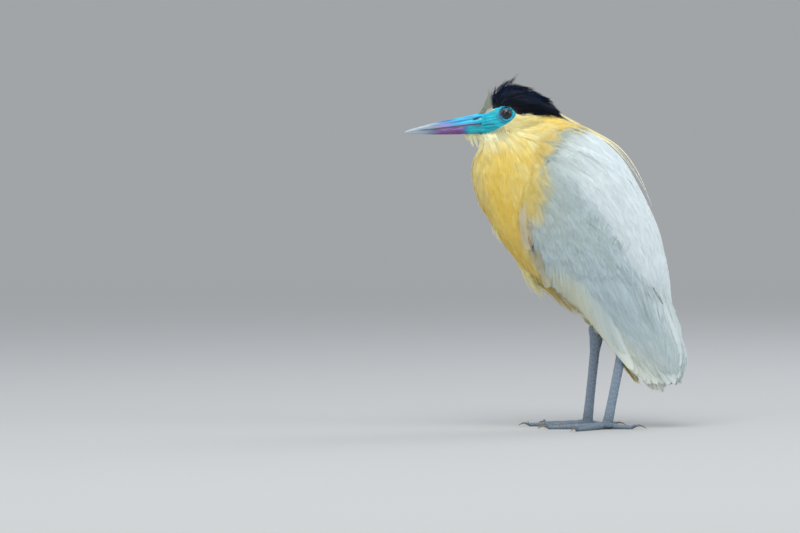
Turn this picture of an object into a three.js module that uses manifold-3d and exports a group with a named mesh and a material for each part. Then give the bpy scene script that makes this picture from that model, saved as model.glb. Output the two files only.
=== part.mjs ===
// A capped heron (Pilherodius pileatus) at rest with its neck drawn in, as a still, life-size model.
// Millimetres, +Z up. The bird faces -Y, its left side is +X, and its soles stand on z = 0.
// While the bird is shaped, y = 0 lies between its two ankles; the last step centres it on its box.
import * as THREE from "three";
import { mergeVertices } from "three/addons/utils/BufferGeometryUtils.js";
import Module from "manifold-3d";

const wasm = await Module();
wasm.setup();

// ---- Driving sizes -------------------------------------------------------------------------------

const GAP = 0.3; // clearance between pieces that touch
const TARSUS = 88; // ankle to the foot's ball
const TOE_LENGTHS = { inner: 42, middle: 56, outer: 46, hind: 24 }; // without claws
const TOE_RADIUS = { base: 2.9, tip: 2.0 };
const CLAW_LENGTHS = { inner: 9, middle: 10, outer: 8.5, hind: 13 };
const SOLE_PRESS = 0.76; // height of a toe's axis over the floor, in toe radii
const TOE_ARCH = 1.6; // how far the toes rise to the foot's ball
const TOE_SWELL = 0.09; // how much a toe thickens at its joints, as a share of its radius
const CLAW_SEAT = 1.5; // how deep a claw sits in its toe
const CLAW_ARCH = 0.22; // rise of a claw's arc, as a share of its length
const SHEET_EDGE = 0.9; // thickness of a wing's or the tail's edge
const EYE_RADIUS = 6.8;
const EYE_CENTRE = { x: 8.8, y: -89, z: 314.4 };
const BILL_BASE_Y = -115; // where horn ends and the bare face begins
const LEG_SPREAD = 19; // half the distance between the feet

// Each mass is a run of stations. low is its foremost or lowest edge as [y, z], high the edge across from
// it, half its half width, and egg how far the widest place lies towards high, as a share of the radius.
const HEAD = [
  { low: [-114.7, 294.4], high: [-114.7, 315.4], half: 7.2, egg: 0 },
  { low: [-108, 292.5], high: [-107, 320], half: 9.6, egg: -0.05 },
  { low: [-100, 289.5], high: [-98, 325.5], half: 12.2, egg: -0.05 },
  { low: [-91, 286], high: [-88, 329], half: 14.6, egg: 0 },
  { low: [-80, 283], high: [-76, 330], half: 16.4, egg: 0 },
  { low: [-68, 282], high: [-62, 327.5], half: 17.2, egg: 0 },
  { low: [-56, 283], high: [-48, 321.5], half: 16.6, egg: 0 },
  { low: [-46, 288], high: [-38, 313], half: 13, egg: 0 },
  { low: [-40, 294], high: [-33, 306], half: 7, egg: 0 },
];
const CREST = [
  { low: [-106.5, 319], high: [-106, 325], half: 3, egg: 0 },
  { low: [-102, 318], high: [-101, 337], half: 7.5, egg: -0.2 },
  { low: [-93, 319.5], high: [-90, 344], half: 12, egg: -0.25 },
  { low: [-82, 317], high: [-77, 344.6], half: 15.6, egg: -0.3 },
  { low: [-69, 312.5], high: [-64, 338.6], half: 17.8, egg: -0.3 },
  { low: [-57, 311.8], high: [-52, 331.6], half: 17.6, egg: -0.3 },
  { low: [-45, 312.8], high: [-42, 323.5], half: 13.5, egg: -0.2 },
  { low: [-36, 314], high: [-34.5, 317.8], half: 6, egg: 0 },
];
const NECK = [
  { low: [-114, 290], high: [-60, 312], half: 12, egg: 0.1 },
  { low: [-120, 277], high: [-40, 304], half: 21, egg: 0.15 },
  { low: [-125, 262], high: [-24, 292], half: 27.5, egg: 0.2 },
  { low: [-123.5, 243], high: [-14, 272], half: 31.5, egg: 0.2 },
  { low: [-115, 220], high: [-8, 250], half: 33.5, egg: 0.2 },
  { low: [-103, 197], high: [-6, 227], half: 34, egg: 0.2 },
  { low: [-87.5, 174.5], high: [-6, 204], half: 32.5, egg: 0.15 },
  { low: [-69, 153.5], high: [-2, 184], half: 29.5, egg: 0.1 },
  { low: [-50, 137.5], high: [4, 160], half: 24, egg: 0 },
  { low: [-32, 130], high: [10, 140], half: 12, egg: 0 },
];
const TRUNK = [
  { low: [-66, 302], high: [-36, 313.5], half: 12, egg: 0 },
  { low: [-76, 286], high: [-11, 302.5], half: 27, egg: 0.05 },
  { low: [-80, 264], high: [14.5, 286], half: 36.5, egg: 0.05 },
  { low: [-78, 240], high: [35.5, 263.3], half: 41, egg: 0.1 },
  { low: [-72, 215], high: [50.5, 232.6], half: 42.5, egg: 0.1 },
  { low: [-64, 190], high: [63, 207.2], half: 42.5, egg: 0.1 },
  { low: [-53, 166], high: [71, 182], half: 40.5, egg: 0.1 },
  { low: [-38, 142.5], high: [74.5, 155], half: 36.5, egg: 0.1 },
  { low: [-20, 122], high: [75.5, 130], half: 29, egg: 0.15 },
  { low: [1, 105], high: [73, 108], half: 18, egg: 0.25 },
  { low: [19, 88], high: [74, 88], half: 12, egg: 0.3 },
  { low: [34, 72], high: [70, 70], half: 8, egg: 0.3 },
  { low: [45, 60], high: [62, 58], half: 3.5, egg: 0 },
];
// The wings wrap the trunk from front, an angle from the breast side, to back. thick is their depth, and
// blunt squares off their low side, so that they hang outside the legs.
const WING = [
  { low: [-72, 262], high: [20, 287], half: 39.5, egg: 0, front: 60, back: 112, thick: 3, blunt: 0.6 },
  { low: [-80, 240], high: [37, 263.5], half: 46, egg: 0, front: 34, back: 138, thick: 9, blunt: 0.5 },
  { low: [-81, 215], high: [51, 233.3], half: 48.5, egg: 0, front: 23, back: 148, thick: 12, blunt: 0.45 },
  { low: [-76, 190], high: [63.5, 208], half: 48.5, egg: 0, front: 21, back: 156, thick: 12, blunt: 0.45 },
  { low: [-62, 164], high: [72, 181], half: 46.5, egg: 0, front: 20, back: 162, thick: 11, blunt: 0.45 },
  { low: [-43, 140], high: [77, 152], half: 42.5, egg: 0.1, front: 20, back: 168, thick: 9, blunt: 0.42 },
  { low: [-23, 119], high: [78.5, 126], half: 37, egg: 0.15, front: 20, back: 172, thick: 7, blunt: 0.38 },
  { low: [-3, 99], high: [82, 103], half: 31, egg: 0.2, front: 20, back: 174, thick: 6, blunt: 0.32 },
  { low: [16, 79], high: [89, 82], half: 25.5, egg: 0.2, front: 21, back: 174, thick: 5.5, blunt: 0.28 },
  { low: [34, 60], high: [91.5, 65], half: 19, egg: 0.2, front: 22, back: 172, thick: 5.5, blunt: 0.35 },
  { low: [51, 46.5], high: [88, 51], half: 12, egg: 0.15, front: 26, back: 168, thick: 4.5, blunt: 0.6 },
  { low: [66, 42.5], high: [84, 43.5], half: 6.5, egg: 0, front: 40, back: 150, thick: 2.5, blunt: 1 },
];
// The tail is a shallow roof of feathers that opens downwards and forwards.
const TAIL = [
  { low: [28, 84], high: [68, 88], half: 11, egg: 0, front: 70, back: 290, thick: 4 },
  { low: [36, 66], high: [72, 70], half: 13, egg: 0, front: 66, back: 294, thick: 3.2 },
  { low: [44, 50], high: [73, 54], half: 13, egg: 0, front: 62, back: 298, thick: 2.4 },
  { low: [50, 40], high: [71, 42.5], half: 11, egg: 0, front: 66, back: 294, thick: 1.8 },
  { low: [55, 36.2], high: [67, 37], half: 7.5, egg: 0, front: 80, back: 280, thick: 1.2 },
];
// The bill's halves, from tip to face: y, the height of the seam between them, the outer ridge, half width.
const BILL_UPPER = [
  { y: -190.2, seam: 295.6, ridge: 296.2, half: 0.5 },
  { y: -186, seam: 296.1, ridge: 298.2, half: 1.2 },
  { y: -177, seam: 297.2, ridge: 300.8, half: 2.1 },
  { y: -164, seam: 298.7, ridge: 304.4, half: 3.1 },
  { y: -151, seam: 300.2, ridge: 307.4, half: 4.1 },
  { y: -138, seam: 301.7, ridge: 310.1, half: 5 },
  { y: -126, seam: 303.1, ridge: 312.7, half: 5.9 },
  { y: BILL_BASE_Y, seam: 304, ridge: 315.2, half: 7 },
];
const BILL_LOWER = [
  { y: -188.6, seam: 295.2, ridge: 294.7, half: 0.5 },
  { y: -184, seam: 295.8, ridge: 294.2, half: 1.2 },
  { y: -176, seam: 296.8, ridge: 293.8, half: 2 },
  { y: -164, seam: 298.3, ridge: 293.4, half: 2.9 },
  { y: -151, seam: 299.8, ridge: 293.3, half: 3.9 },
  { y: -138, seam: 301.3, ridge: 293.4, half: 4.9 },
  { y: -126, seam: 302.7, ridge: 293.7, half: 5.9 },
  { y: BILL_BASE_Y, seam: 303.6, ridge: 294.3, half: 7 },
];
// Legs: foot, ankle and hip as [x, y], and the ways the toes point, in degrees outwards from straight ahead.
const LEGS = {
  left: {
    side: 1, foot: [LEG_SPREAD, 11], ankle: [14, 29], hip: [15, -2],
    toes: { inner: -20, middle: 4, outer: 50, hind: 172 },
  },
  right: {
    side: -1, foot: [-LEG_SPREAD, -7], ankle: [-14, 2], hip: [-15, -14],
    toes: { inner: -22, middle: 2, outer: 32, hind: 174 },
  },
};
const ANKLE_HEIGHT = TARSUS + 2;
const BALL = { radius: 5.2, width: 0.95, length: 1.1, height: 0.8, up: 3.6 }; // the foot's centre
const TOE_RING = 3.4; // toes spring from a ring of this radius round the foot's centre
// Sections of the bare leg from the foot up: share of the tarsus, half width and half depth.
const SHANK = [
  { at: 0.035, half: 3.6, depth: 5.0 },
  { at: 0.1, half: 3.4, depth: 4.5 },
  { at: 0.3, half: 3.0, depth: 4.0 },
  { at: 0.6, half: 3.0, depth: 4.0 },
  { at: 0.84, half: 3.3, depth: 4.3 },
  { at: 0.95, half: 4.4, depth: 5.6 },
  { at: 1.0, half: 4.7, depth: 5.9 },
  { at: 1.05, half: 4.3, depth: 5.4 },
  { at: 1.14, half: 3.4, depth: 4.4 },
];
const THIGH_TOP = 146;
// The nape plumes: their places across the nape, and the share of the route, [y, z] down the back, they run.
const PLUMES = [
  { x: 3.2, length: 0.88, bow: 0.4 },
  { x: 0, length: 1, bow: 1.4 },
  { x: -3.2, length: 0.94, bow: 0.8 },
];
const PLUME_ROUTE = [
  [-35.5, 317.5], [-11.5, 303.9], [14.5, 287.6], [28.5, 273.7], [41, 256], [52, 233.2], [57, 221],
];
const PLUME_HALF = { wide: 1.1, deep: 0.5 };

const COLOURS = {
  white: [0xdfe4e4, 0.75], buff: [0xeecb6a, 0.8], black: [0x0c1118, 0.6], bare: [0x2aa9bd, 0.5],
  horn: [0x8f9fc4, 0.35], leg: [0x74889c, 0.6], claw: [0xa39a7c, 0.4], eye: [0x0a0a0e, 0.05],
};

// ---- Solids --------------------------------------------------------------------------------------

/** A closed geometry as a manifold-3d solid, turned outside out where its faces point inwards. */
function solid(geometry) {
  const bare = new THREE.BufferGeometry().setAttribute("position", geometry.getAttribute("position"));
  bare.setIndex(geometry.index);
  const merged = mergeVertices(bare, 1e-4);
  const triVerts = new Uint32Array(merged.index.array);
  const vertProperties = merged.attributes.position.array;
  if (signedVolume(vertProperties, triVerts) < 0)
    for (let i = 0; i < triVerts.length; i += 3)
      [triVerts[i + 1], triVerts[i + 2]] = [triVerts[i + 2], triVerts[i + 1]];
  return new wasm.Manifold(new wasm.Mesh({ numProp: 3, vertProperties, triVerts }));
}

/** Volume inside a triangle mesh, negative where its faces point inwards. */
function signedVolume(position, index) {
  const [a, b, c] = [new THREE.Vector3(), new THREE.Vector3(), new THREE.Vector3()];
  let volume = 0;
  for (let i = 0; i < index.length; i += 3) {
    a.fromArray(position, 3 * index[i]);
    b.fromArray(position, 3 * index[i + 1]);
    c.fromArray(position, 3 * index[i + 2]);
    volume += a.dot(b.cross(c)) / 6;
  }
  return volume;
}

/** A loft through closed rings of one length, its ends closed by strips between mirrored ring points. */
function loft(rings) {
  const size = rings[0].length;
  const index = [];
  const quad = (a, b, c, d) => index.push(a, b, c, a, c, d);
  for (let r = 0; r + 1 < rings.length; r++)
    for (let i = 0; i < size; i++) {
      const next = (i + 1) % size;
      quad(r * size + i, r * size + next, (r + 1) * size + next, (r + 1) * size + i);
    }
  const last = (rings.length - 1) * size;
  for (let i = 0; i < size / 2 - 1; i++) {
    quad(size - 1 - i, size - 2 - i, i + 1, i);
    quad(last + i, last + i + 1, last + size - 2 - i, last + size - 1 - i);
  }
  const geometry = new THREE.BufferGeometry().setFromPoints(rings.flat());
  geometry.setIndex(index);
  return solid(geometry);
}

/** The largest body of a solid: what booleans leave as loose crumbs is dropped. */
function mainBody(made) {
  return made.decompose().reduce((a, b) => (b.volume() > a.volume() ? b : a));
}

/** Everything to the left of the line a -> b in the YZ plane, with its face moved outwards by shift. */
function leftOf(a, b, shift = 0) {
  const reach = 900;
  const angle = Math.atan2(b[1] - a[1], b[0] - a[0]);
  const out = reach / 2 - shift;
  const box = new THREE.BoxGeometry(reach, reach, reach).rotateX(angle);
  box.translate(0, (a[0] + b[0]) / 2 - Math.sin(angle) * out, (a[1] + b[1]) / 2 + Math.cos(angle) * out);
  return solid(box);
}

/** Smooth curves through the stations of a mass, both run by station number. */
function massOf(stations) {
  const through = (pick) => new THREE.CatmullRomCurve3(stations.map(pick), false, "catmullrom", 0.5);
  return {
    low: through((s) => new THREE.Vector3(s.half, ...s.low)),
    high: through((s) => new THREE.Vector3(s.egg, ...s.high)),
    wrap: through((s) => new THREE.Vector3(s.front ?? 0, s.back ?? 0, s.thick ?? 0)),
    blunt: through((s) => new THREE.Vector3(s.blunt ?? 1, 0, 0)),
  };
}

/** A place on a mass: t runs along its stations and angle, in radians, from low round +X to high. */
function placeOn(mass, t, angle, grow = 0) {
  const low = mass.low.getPoint(t);
  const high = mass.high.getPoint(t);
  const along = -Math.cos(angle);
  const share = along + high.x * (1 - along * along);
  const radius = Math.hypot(high.y - low.y, high.z - low.z) / 2;
  const scale = (share * (radius + grow)) / radius / 2;
  const across = Math.sin(angle);
  const blunt = along < 0 ? mass.blunt.getPoint(t).x : 1;
  return new THREE.Vector3(
    (low.x + grow) * Math.sign(across) * Math.abs(across) ** blunt,
    (low.y + high.y) / 2 + (high.y - low.y) * scale,
    (low.z + high.z) / 2 + (high.z - low.z) * scale,
  );
}

/** The full round loft of a mass, its surface moved out by grow. */
function roundMass(stations, steps, around, grow = 0) {
  const mass = massOf(stations);
  const rings = [];
  for (let k = 0; k <= steps; k++)
    rings.push(Array.from({ length: around }, (_, i) =>
      placeOn(mass, k / steps, (2 * Math.PI * (i + 0.5)) / around, grow)));
  return loft(rings);
}

/** A sheet that wraps a mass between two angles, thick in the middle and thin at its edges. */
function wrapMass(stations, steps, across, mirror = 1, grow = 0) {
  const mass = massOf(stations);
  const rings = [];
  for (let k = 0; k <= steps; k++) {
    const t = k / steps;
    const wrap = mass.wrap.getPoint(t);
    const radius = mass.low.getPoint(t).x;
    const widen = (grow / radius) * (180 / Math.PI);
    const outer = [];
    const inner = [];
    for (let i = 0; i <= across; i++) {
      const share = i / across;
      const angle = THREE.MathUtils.degToRad(
        THREE.MathUtils.lerp(wrap.x - widen, wrap.y + widen, share));
      const depth = SHEET_EDGE + (wrap.z - SHEET_EDGE) * Math.sin(Math.PI * share) ** 0.7;
      outer.push(placeOn(mass, t, angle, grow));
      inner.unshift(placeOn(mass, t, angle, -Math.max(depth, SHEET_EDGE) - grow));
    }
    rings.push([...outer, ...inner]);
  }
  if (grow > 0) {
    extend(rings, 0, 1, grow);
    extend(rings, rings.length - 1, rings.length - 2, grow);
  }
  for (const ring of rings) for (const point of ring) point.x *= mirror;
  return loft(rings);
}

/** Moves the end ring of a loft on past itself, away from its neighbour, by a distance. */
function extend(rings, end, neighbour, distance) {
  rings[end].forEach((point, i) => {
    const way = point.clone().sub(rings[neighbour][i]).normalize();
    point.addScaledVector(way, distance);
  });
}

/** A tapering tube of elliptic section along points {at, half, deep}; deep is measured along up. */
function tube(points, around, up) {
  const rings = points.map(({ at, half, deep }, i) => {
    const before = points[Math.max(i - 1, 0)].at;
    const after = points[Math.min(i + 1, points.length - 1)].at;
    const way = after.clone().sub(before).normalize();
    const side = new THREE.Vector3().crossVectors(way, up).normalize();
    const rise = new THREE.Vector3().crossVectors(side, way).normalize();
    return Array.from({ length: around }, (_, k) => {
      const angle = (2 * Math.PI * (k + 0.5)) / around;
      return at.clone()
        .addScaledVector(side, half * Math.sin(angle))
        .addScaledVector(rise, -deep * Math.cos(angle));
    });
  });
  return loft(rings);
}

/** A wisp of feather: a slim cone from its root to its tip. */
function wisp(root, tip, radius) {
  const way = new THREE.Vector3().subVectors(tip, root);
  const cone = new THREE.ConeGeometry(radius, way.length(), 5);
  cone.translate(0, way.length() / 2, 0);
  const turn = new THREE.Quaternion().setFromUnitVectors(new THREE.Vector3(0, 1, 0), way.normalize());
  cone.applyQuaternion(turn);
  return solid(cone.translate(...root));
}

const wispAt = (x, y, z, dy, dz, radius) =>
  wisp(new THREE.Vector3(x, y, z), new THREE.Vector3(x, y + dy, z + dz), radius);

const joinWisps = (rows) => rows.map((row) => wispAt(...row)).reduce((made, part) => made.add(part));

const aboveFloor = leftOf([-1, 0], [1, 0]);

// ---- Bill and eyes -------------------------------------------------------------------------------

/** One half of the bill: flat along the seam, rounded up or down to its ridge. */
function billHalf(stations, grow = 0) {
  const arc = 9;
  const rings = stations.map(({ y, seam, ridge, half }) => Array.from({ length: arc + 1 }, (_, i) => {
    const angle = (Math.PI * i) / arc;
    const rise = (ridge - seam + Math.sign(ridge - seam) * grow) * Math.sin(angle) ** 0.85;
    const back = y === BILL_BASE_Y ? grow : 0;
    return new THREE.Vector3((half + grow) * Math.cos(angle), y + back, seam + rise);
  }));
  return loft(rings);
}

function eyeball(side, grow = 0) {
  const ball = new THREE.SphereGeometry(EYE_RADIUS + grow, 12, 7).rotateZ(Math.PI / 2);
  return solid(ball.translate(side * EYE_CENTRE.x, EYE_CENTRE.y, EYE_CENTRE.z));
}

// ---- Legs and feet -------------------------------------------------------------------------------

/** Where a leg's axis lies at a share of the tarsus, from the foot at 0 to the ankle at 1 and past it. */
function legAxis({ foot, ankle }, share) {
  return new THREE.Vector3(
    THREE.MathUtils.lerp(foot[0], ankle[0], share),
    THREE.MathUtils.lerp(foot[1], ankle[1], share),
    ANKLE_HEIGHT * share,
  );
}

/** The bare leg: tarsus, ankle knuckle and the foot of the tibia, which leans forward to the hip. */
function shank(leg, grow = 0) {
  const forward = new THREE.Vector3(0, -1, 0);
  const points = SHANK.map(({ at, half, depth }) => (
    { at: tibiaAxis(leg, at), half: half + grow, deep: depth + grow }));
  points[0].at.z -= grow;
  return tube(points, 8, forward);
}

/** The leg's axis, which turns at the ankle from the tarsus to the tibia. */
function tibiaAxis(leg, share) {
  if (share <= 1) return legAxis(leg, share);
  const ankle = legAxis(leg, 1);
  const hip = new THREE.Vector3(...leg.hip, THIGH_TOP);
  const way = hip.sub(ankle).normalize();
  return ankle.addScaledVector(way, (share - 1) * TARSUS);
}

/** The feathered tibia, from the top of the bare leg up into the belly. */
function thigh(leg, grow = 0) {
  const forward = new THREE.Vector3(0, -1, 0);
  const start = SHANK.at(-1).at + GAP / TARSUS;
  const rows = [[start, 4.2, 5.4], [start + 0.08, 6, 8], [start + 0.24, 8, 12], [start + 0.5, 9, 15]];
  const points = rows.map(([share, half, deep]) => (
    { at: tibiaAxis(leg, share), half: half + grow, deep: deep + grow }));
  return tube(points, 12, forward);
}

/** One toe's frame: where it springs from, the way it points, its radii and where its claw starts. */
function toeOf(leg, name) {
  const angle = THREE.MathUtils.degToRad(leg.toes[name]);
  const way = new THREE.Vector3(leg.side * Math.sin(angle), -Math.cos(angle), 0);
  const root = new THREE.Vector3(...leg.foot, 0).addScaledVector(way, TOE_RING);
  const slim = name === "hind" ? 0.92 : 1;
  return { way, root, length: TOE_LENGTHS[name], base: TOE_RADIUS.base * slim, tip: TOE_RADIUS.tip * slim };
}

/** A toe: it swells over each joint and lies along the floor, its end a little rounded. */
function toe(leg, name) {
  const { way, root, length, base, tip } = toeOf(leg, name);
  const joints = name === "hind" ? 1 : 3;
  const steps = Math.max(2 * joints, 4);
  const points = [];
  for (let i = 0; i <= steps; i++) {
    const share = i / steps;
    const swell = 1 + TOE_SWELL * Math.cos(2 * Math.PI * joints * share);
    const round = i === steps ? 0.8 : 1;
    const radius = THREE.MathUtils.lerp(base, tip, share) * swell * round;
    const arch = TOE_ARCH * (1 - share) ** 3;
    const at = root.clone().addScaledVector(way, length * share);
    at.z = THREE.MathUtils.lerp(base, tip, share) * SOLE_PRESS + arch;
    points.push({ at, half: radius, deep: radius });
  }
  return tube(points, 6, new THREE.Vector3(0, 0, 1));
}

/** The foot: four toes that grow from one ball, with flat pads on the floor and sockets for the claws. */
function foot(leg) {
  const ball = solid(new THREE.SphereGeometry(BALL.radius, 10, 6)
    .rotateX(Math.PI / 2)
    .scale(BALL.width, BALL.length, BALL.height)
    .translate(leg.foot[0], leg.foot[1], BALL.up));
  const names = Object.keys(leg.toes);
  const joined = names.reduce((made, name) => made.add(toe(leg, name)), ball);
  const flat = joined.intersect(aboveFloor).subtract(shank(leg, GAP));
  return names.reduce((made, name) => made.subtract(claw(leg, name, GAP)), flat);
}

/** A claw: it springs from inside its toe's end, arches over and comes down to a point near the floor. */
function claw(leg, name, grow = 0) {
  const { way, root, length, tip } = toeOf(leg, name);
  const reach = CLAW_LENGTHS[name] + CLAW_SEAT;
  const start = root.clone().addScaledVector(way, length - CLAW_SEAT);
  const steps = 4;
  const points = [];
  for (let i = 0; i <= steps; i++) {
    const share = i / steps;
    const radius = tip * 0.55 * (1 - share) ** 0.8 + 0.25 + grow;
    const at = start.clone().addScaledVector(way, reach * share - (i === 0 ? grow : 0));
    at.z = tip * SOLE_PRESS * (1 - share) + reach * CLAW_ARCH * Math.sin(Math.PI * share) + 0.5 * share;
    points.push({ at, half: radius, deep: radius });
  }
  return tube(points, 6, new THREE.Vector3(0, 0, 1)).intersect(aboveFloor);
}

// ---- Nape plumes ---------------------------------------------------------------------------------

/** One long white nape plume, a thin ribbon that bows a little off the back. */
function plume({ x, length, bow }, grow = 0) {
  const route = new THREE.CatmullRomCurve3(PLUME_ROUTE.map(([y, z]) => new THREE.Vector3(x, y, z)));
  const steps = 11;
  const points = [];
  for (let i = 0; i <= steps; i++) {
    const share = i / steps;
    const at = route.getPointAt(share * length);
    const way = route.getTangentAt(share * length);
    const lift = bow * Math.sin(Math.PI * share);
    at.addScaledVector(new THREE.Vector3(0, -way.z, way.y), lift);
    const taper = 1 - 0.55 * share ** 3;
    points.push({ at, half: PLUME_HALF.wide * taper + grow, deep: PLUME_HALF.deep + grow });
  }
  const back = new THREE.Vector3(0, 1, 1);
  return tube(points, 6, back);
}

// ---- The bird ------------------------------------------------------------------------------------

const THROAT = [-113, 285];
const NAPE = [-36, 312.5];
const BELLY = [-44, 132];

const legs = {};
for (const [name, leg] of Object.entries(LEGS))
  legs[name] = {
    leg, bare: shank(leg), thigh: thigh(leg), foot: foot(leg), bed: shank(leg, GAP).add(thigh(leg, GAP)),
  };
const wingOf = (side, grow) => wrapMass(WING, 17, 7, side, grow);
const wings = { left: wingOf(1, 0).subtract(legs.left.bed), right: wingOf(-1, 0).subtract(legs.right.bed) };
const wingBeds = { left: wingOf(1, GAP), right: wingOf(-1, GAP) };
const crestOf = (grow) => roundMass(CREST, 11, 16, grow);
const eyeBeds = eyeball(1, GAP).add(eyeball(-1, GAP));
const crestWisps = joinWisps([
  [0, -98, 336, 6, 12.6, 1.5], [2.5, -92, 341, 12, 8, 1.8], [-2.5, -88, 341, 11, 7, 1.8],
]);
const plumeBeds = PLUMES.map((row) => plume(row, GAP)).reduce((made, part) => made.add(part));
const crest = crestOf(0).add(crestWisps).subtract(eyeBeds).subtract(plumeBeds);
const crestBed = crestOf(GAP);
const eyes = { left: eyeball(1), right: eyeball(-1) };

// Head, neck and trunk are one flesh, parted by two thin cuts.
const flesh = roundMass(HEAD, 9, 16).add(roundMass(NECK, 11, 18)).add(roundMass(TRUNK, 13, 20));
const below = flesh.intersect(leftOf(NAPE, THROAT, -GAP));
const tuft = joinWisps([
  [0, -108, 315, 1.6, 25, 3.4], [0, -104, 318, -0.6, 20, 3.2], [0, -112, 310, -0.5, 14, 3],
]);
const beard = joinWisps([
  [0, -104, 288, -26, 3.6, 5], [0, -113, 291, -5, -10, 3], [2, -117, 291.5, -5, -8, 2.4],
  [-2, -121, 292, -6, -6, 2], [0, -125, 292, -5, -4, 1.6],
]);
const bill = { upper: billHalf(BILL_UPPER), lower: billHalf(BILL_LOWER) };
const headFlesh = flesh.intersect(leftOf(THROAT, NAPE)).add(tuft).add(beard.intersect(leftOf(THROAT, NAPE)));
const billBeds = billHalf(BILL_UPPER, GAP).add(billHalf(BILL_LOWER, GAP));
const head = headFlesh.subtract(crestBed).subtract(eyeBeds).subtract(billBeds);
const breastWisps = joinWisps([
  [-4, -56, 146, 6, -12, 2.4], [2, -63, 151, 6, -12, 2.4], [5, -50, 141, 6, -12, 2.4],
  [-1, -70, 158, 4, -12, 2.4],
]);
const ventWisps = joinWisps([[0, 42, 66, -1, -19, 3.5], [1, 45, 64, 0, -14, 3]]);
const neck = below.intersect(leftOf(BELLY, NAPE)).add(breastWisps)
  .subtract(wingBeds.left).subtract(wingBeds.right).subtract(crestBed);

const tail = wrapMass(TAIL, 6, 8);
const tailBed = wrapMass(TAIL, 6, 8, 1, GAP);
const trunkFlesh = below.intersect(leftOf(NAPE, BELLY, -GAP)).add(ventWisps);
const trunk = [wingBeds.left, wingBeds.right, tailBed, crestBed, plumeBeds, legs.left.bed, legs.right.bed]
  .reduce((made, bed) => made.subtract(bed), trunkFlesh);

// ---- Nodes ---------------------------------------------------------------------------------------

const bird = new THREE.Group();
bird.name = "capped_heron";

/** Adds a solid to the bird as a named mesh of one colour. */
function addNode(name, made, colour) {
  const { vertProperties, triVerts } = mainBody(made).getMesh();
  const geometry = new THREE.BufferGeometry();
  geometry.setAttribute("position", new THREE.BufferAttribute(vertProperties, 3));
  geometry.setIndex(new THREE.BufferAttribute(triVerts, 1));
  geometry.computeVertexNormals();
  const [color, roughness] = COLOURS[colour];
  const mesh = new THREE.Mesh(geometry, new THREE.MeshStandardMaterial({ color, roughness, metalness: 0 }));
  mesh.name = name;
  bird.add(mesh);
}

addNode("head", head, "buff");
addNode("crest", crest, "black");
addNode("neck", neck, "buff");
addNode("trunk", trunk, "white");
addNode("tail", tail.subtract(wingBeds.left).subtract(wingBeds.right), "white");
addNode("bill_upper", bill.upper, "horn");
addNode("bill_lower", bill.lower, "horn");
for (const name of ["left", "right"]) {
  addNode(`eye_${name}`, eyes[name], "eye");
  addNode(`wing_${name}`, wings[name], "white");
  const { leg, bare, thigh: feathered, foot: toes } = legs[name];
  addNode(`thigh_${name}`, feathered, "buff");
  addNode(`shank_${name}`, bare, "leg");
  addNode(`foot_${name}`, toes, "leg");
  for (const toeName of Object.keys(leg.toes))
    addNode(`claw_${toeName}_${name}`, claw(leg, toeName), "claw");
}
PLUMES.forEach((row, i) => addNode(`nape_plume_${i + 1}`, plume(row), "white"));

// The part's origin is the middle of its box, on the floor.
const box = new THREE.Box3().setFromObject(bird);
bird.position.set(-(box.min.x + box.max.x) / 2, -(box.min.y + box.max.y) / 2, 0);

export default bird;
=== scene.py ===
"""A capped heron at rest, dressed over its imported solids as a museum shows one.

One skin stands for the flesh, and over it lie the plumage in its tracts, the horn bill, the eyes, the claws
and the nape plumes. Shapes are worked out in the bird's own millimetres and written to the frame in metres.
"""

import logging
import math
from dataclasses import dataclass, field
from enum import Enum
from typing import Callable, Sequence

import bmesh
import bpy
import numpy as np
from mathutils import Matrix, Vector
from mathutils.bvhtree import BVHTree
from mathutils.kdtree import KDTree


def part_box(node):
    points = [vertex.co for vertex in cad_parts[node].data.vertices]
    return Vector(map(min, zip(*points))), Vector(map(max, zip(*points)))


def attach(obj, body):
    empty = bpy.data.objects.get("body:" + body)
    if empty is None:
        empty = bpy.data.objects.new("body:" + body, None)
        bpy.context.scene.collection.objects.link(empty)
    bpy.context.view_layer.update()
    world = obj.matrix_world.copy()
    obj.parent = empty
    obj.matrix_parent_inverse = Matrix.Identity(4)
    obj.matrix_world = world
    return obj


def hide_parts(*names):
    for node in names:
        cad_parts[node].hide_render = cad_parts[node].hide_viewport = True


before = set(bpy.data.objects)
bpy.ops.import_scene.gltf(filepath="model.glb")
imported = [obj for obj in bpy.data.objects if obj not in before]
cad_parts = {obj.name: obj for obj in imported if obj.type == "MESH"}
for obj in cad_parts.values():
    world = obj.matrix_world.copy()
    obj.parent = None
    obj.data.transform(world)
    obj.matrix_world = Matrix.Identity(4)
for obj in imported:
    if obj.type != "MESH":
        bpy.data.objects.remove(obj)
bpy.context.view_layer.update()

log = logging.getLogger("heron")
Array = np.ndarray
Random = np.random.Generator
Colour = tuple[float, float, float]
Pair = tuple[float, float]
Line = tuple[list[float], list[float]]
Piece = bpy.types.Object
Material = bpy.types.Material
Node = bpy.types.Node
Socket = bpy.types.NodeSocket

MM = 0.001
BODY = "root"
SEED = 20
TRIANGLE_BUDGET = 185_000  # the most triangles that one coat piece holds
UP = np.array([0, 0, 1.0])
SIDES = {"left": 1, "right": -1}


# ---- Small tools ---------------------------------------------------------------------------------


def unit(vectors: Array) -> Array:
    """Vectors scaled to length 1."""
    return vectors / np.maximum(np.linalg.norm(vectors, axis=-1, keepdims=True), 1e-9)


def dot(a: Array, b: Array) -> Array:
    """The product of each row of a with the same row of b."""
    return np.einsum("ij,ij->i", a, b)


def turns(count: int) -> Array:
    """Even angles once round."""
    return np.linspace(0, 2 * math.pi, count, endpoint=False)


def ease(values: Array, start: float, end: float) -> Array:
    """A smooth step from 0 at start to 1 at end, which may lie below start."""
    t = np.clip((values - start) / (end - start), 0, 1)
    return t * t * (3 - 2 * t)


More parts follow.
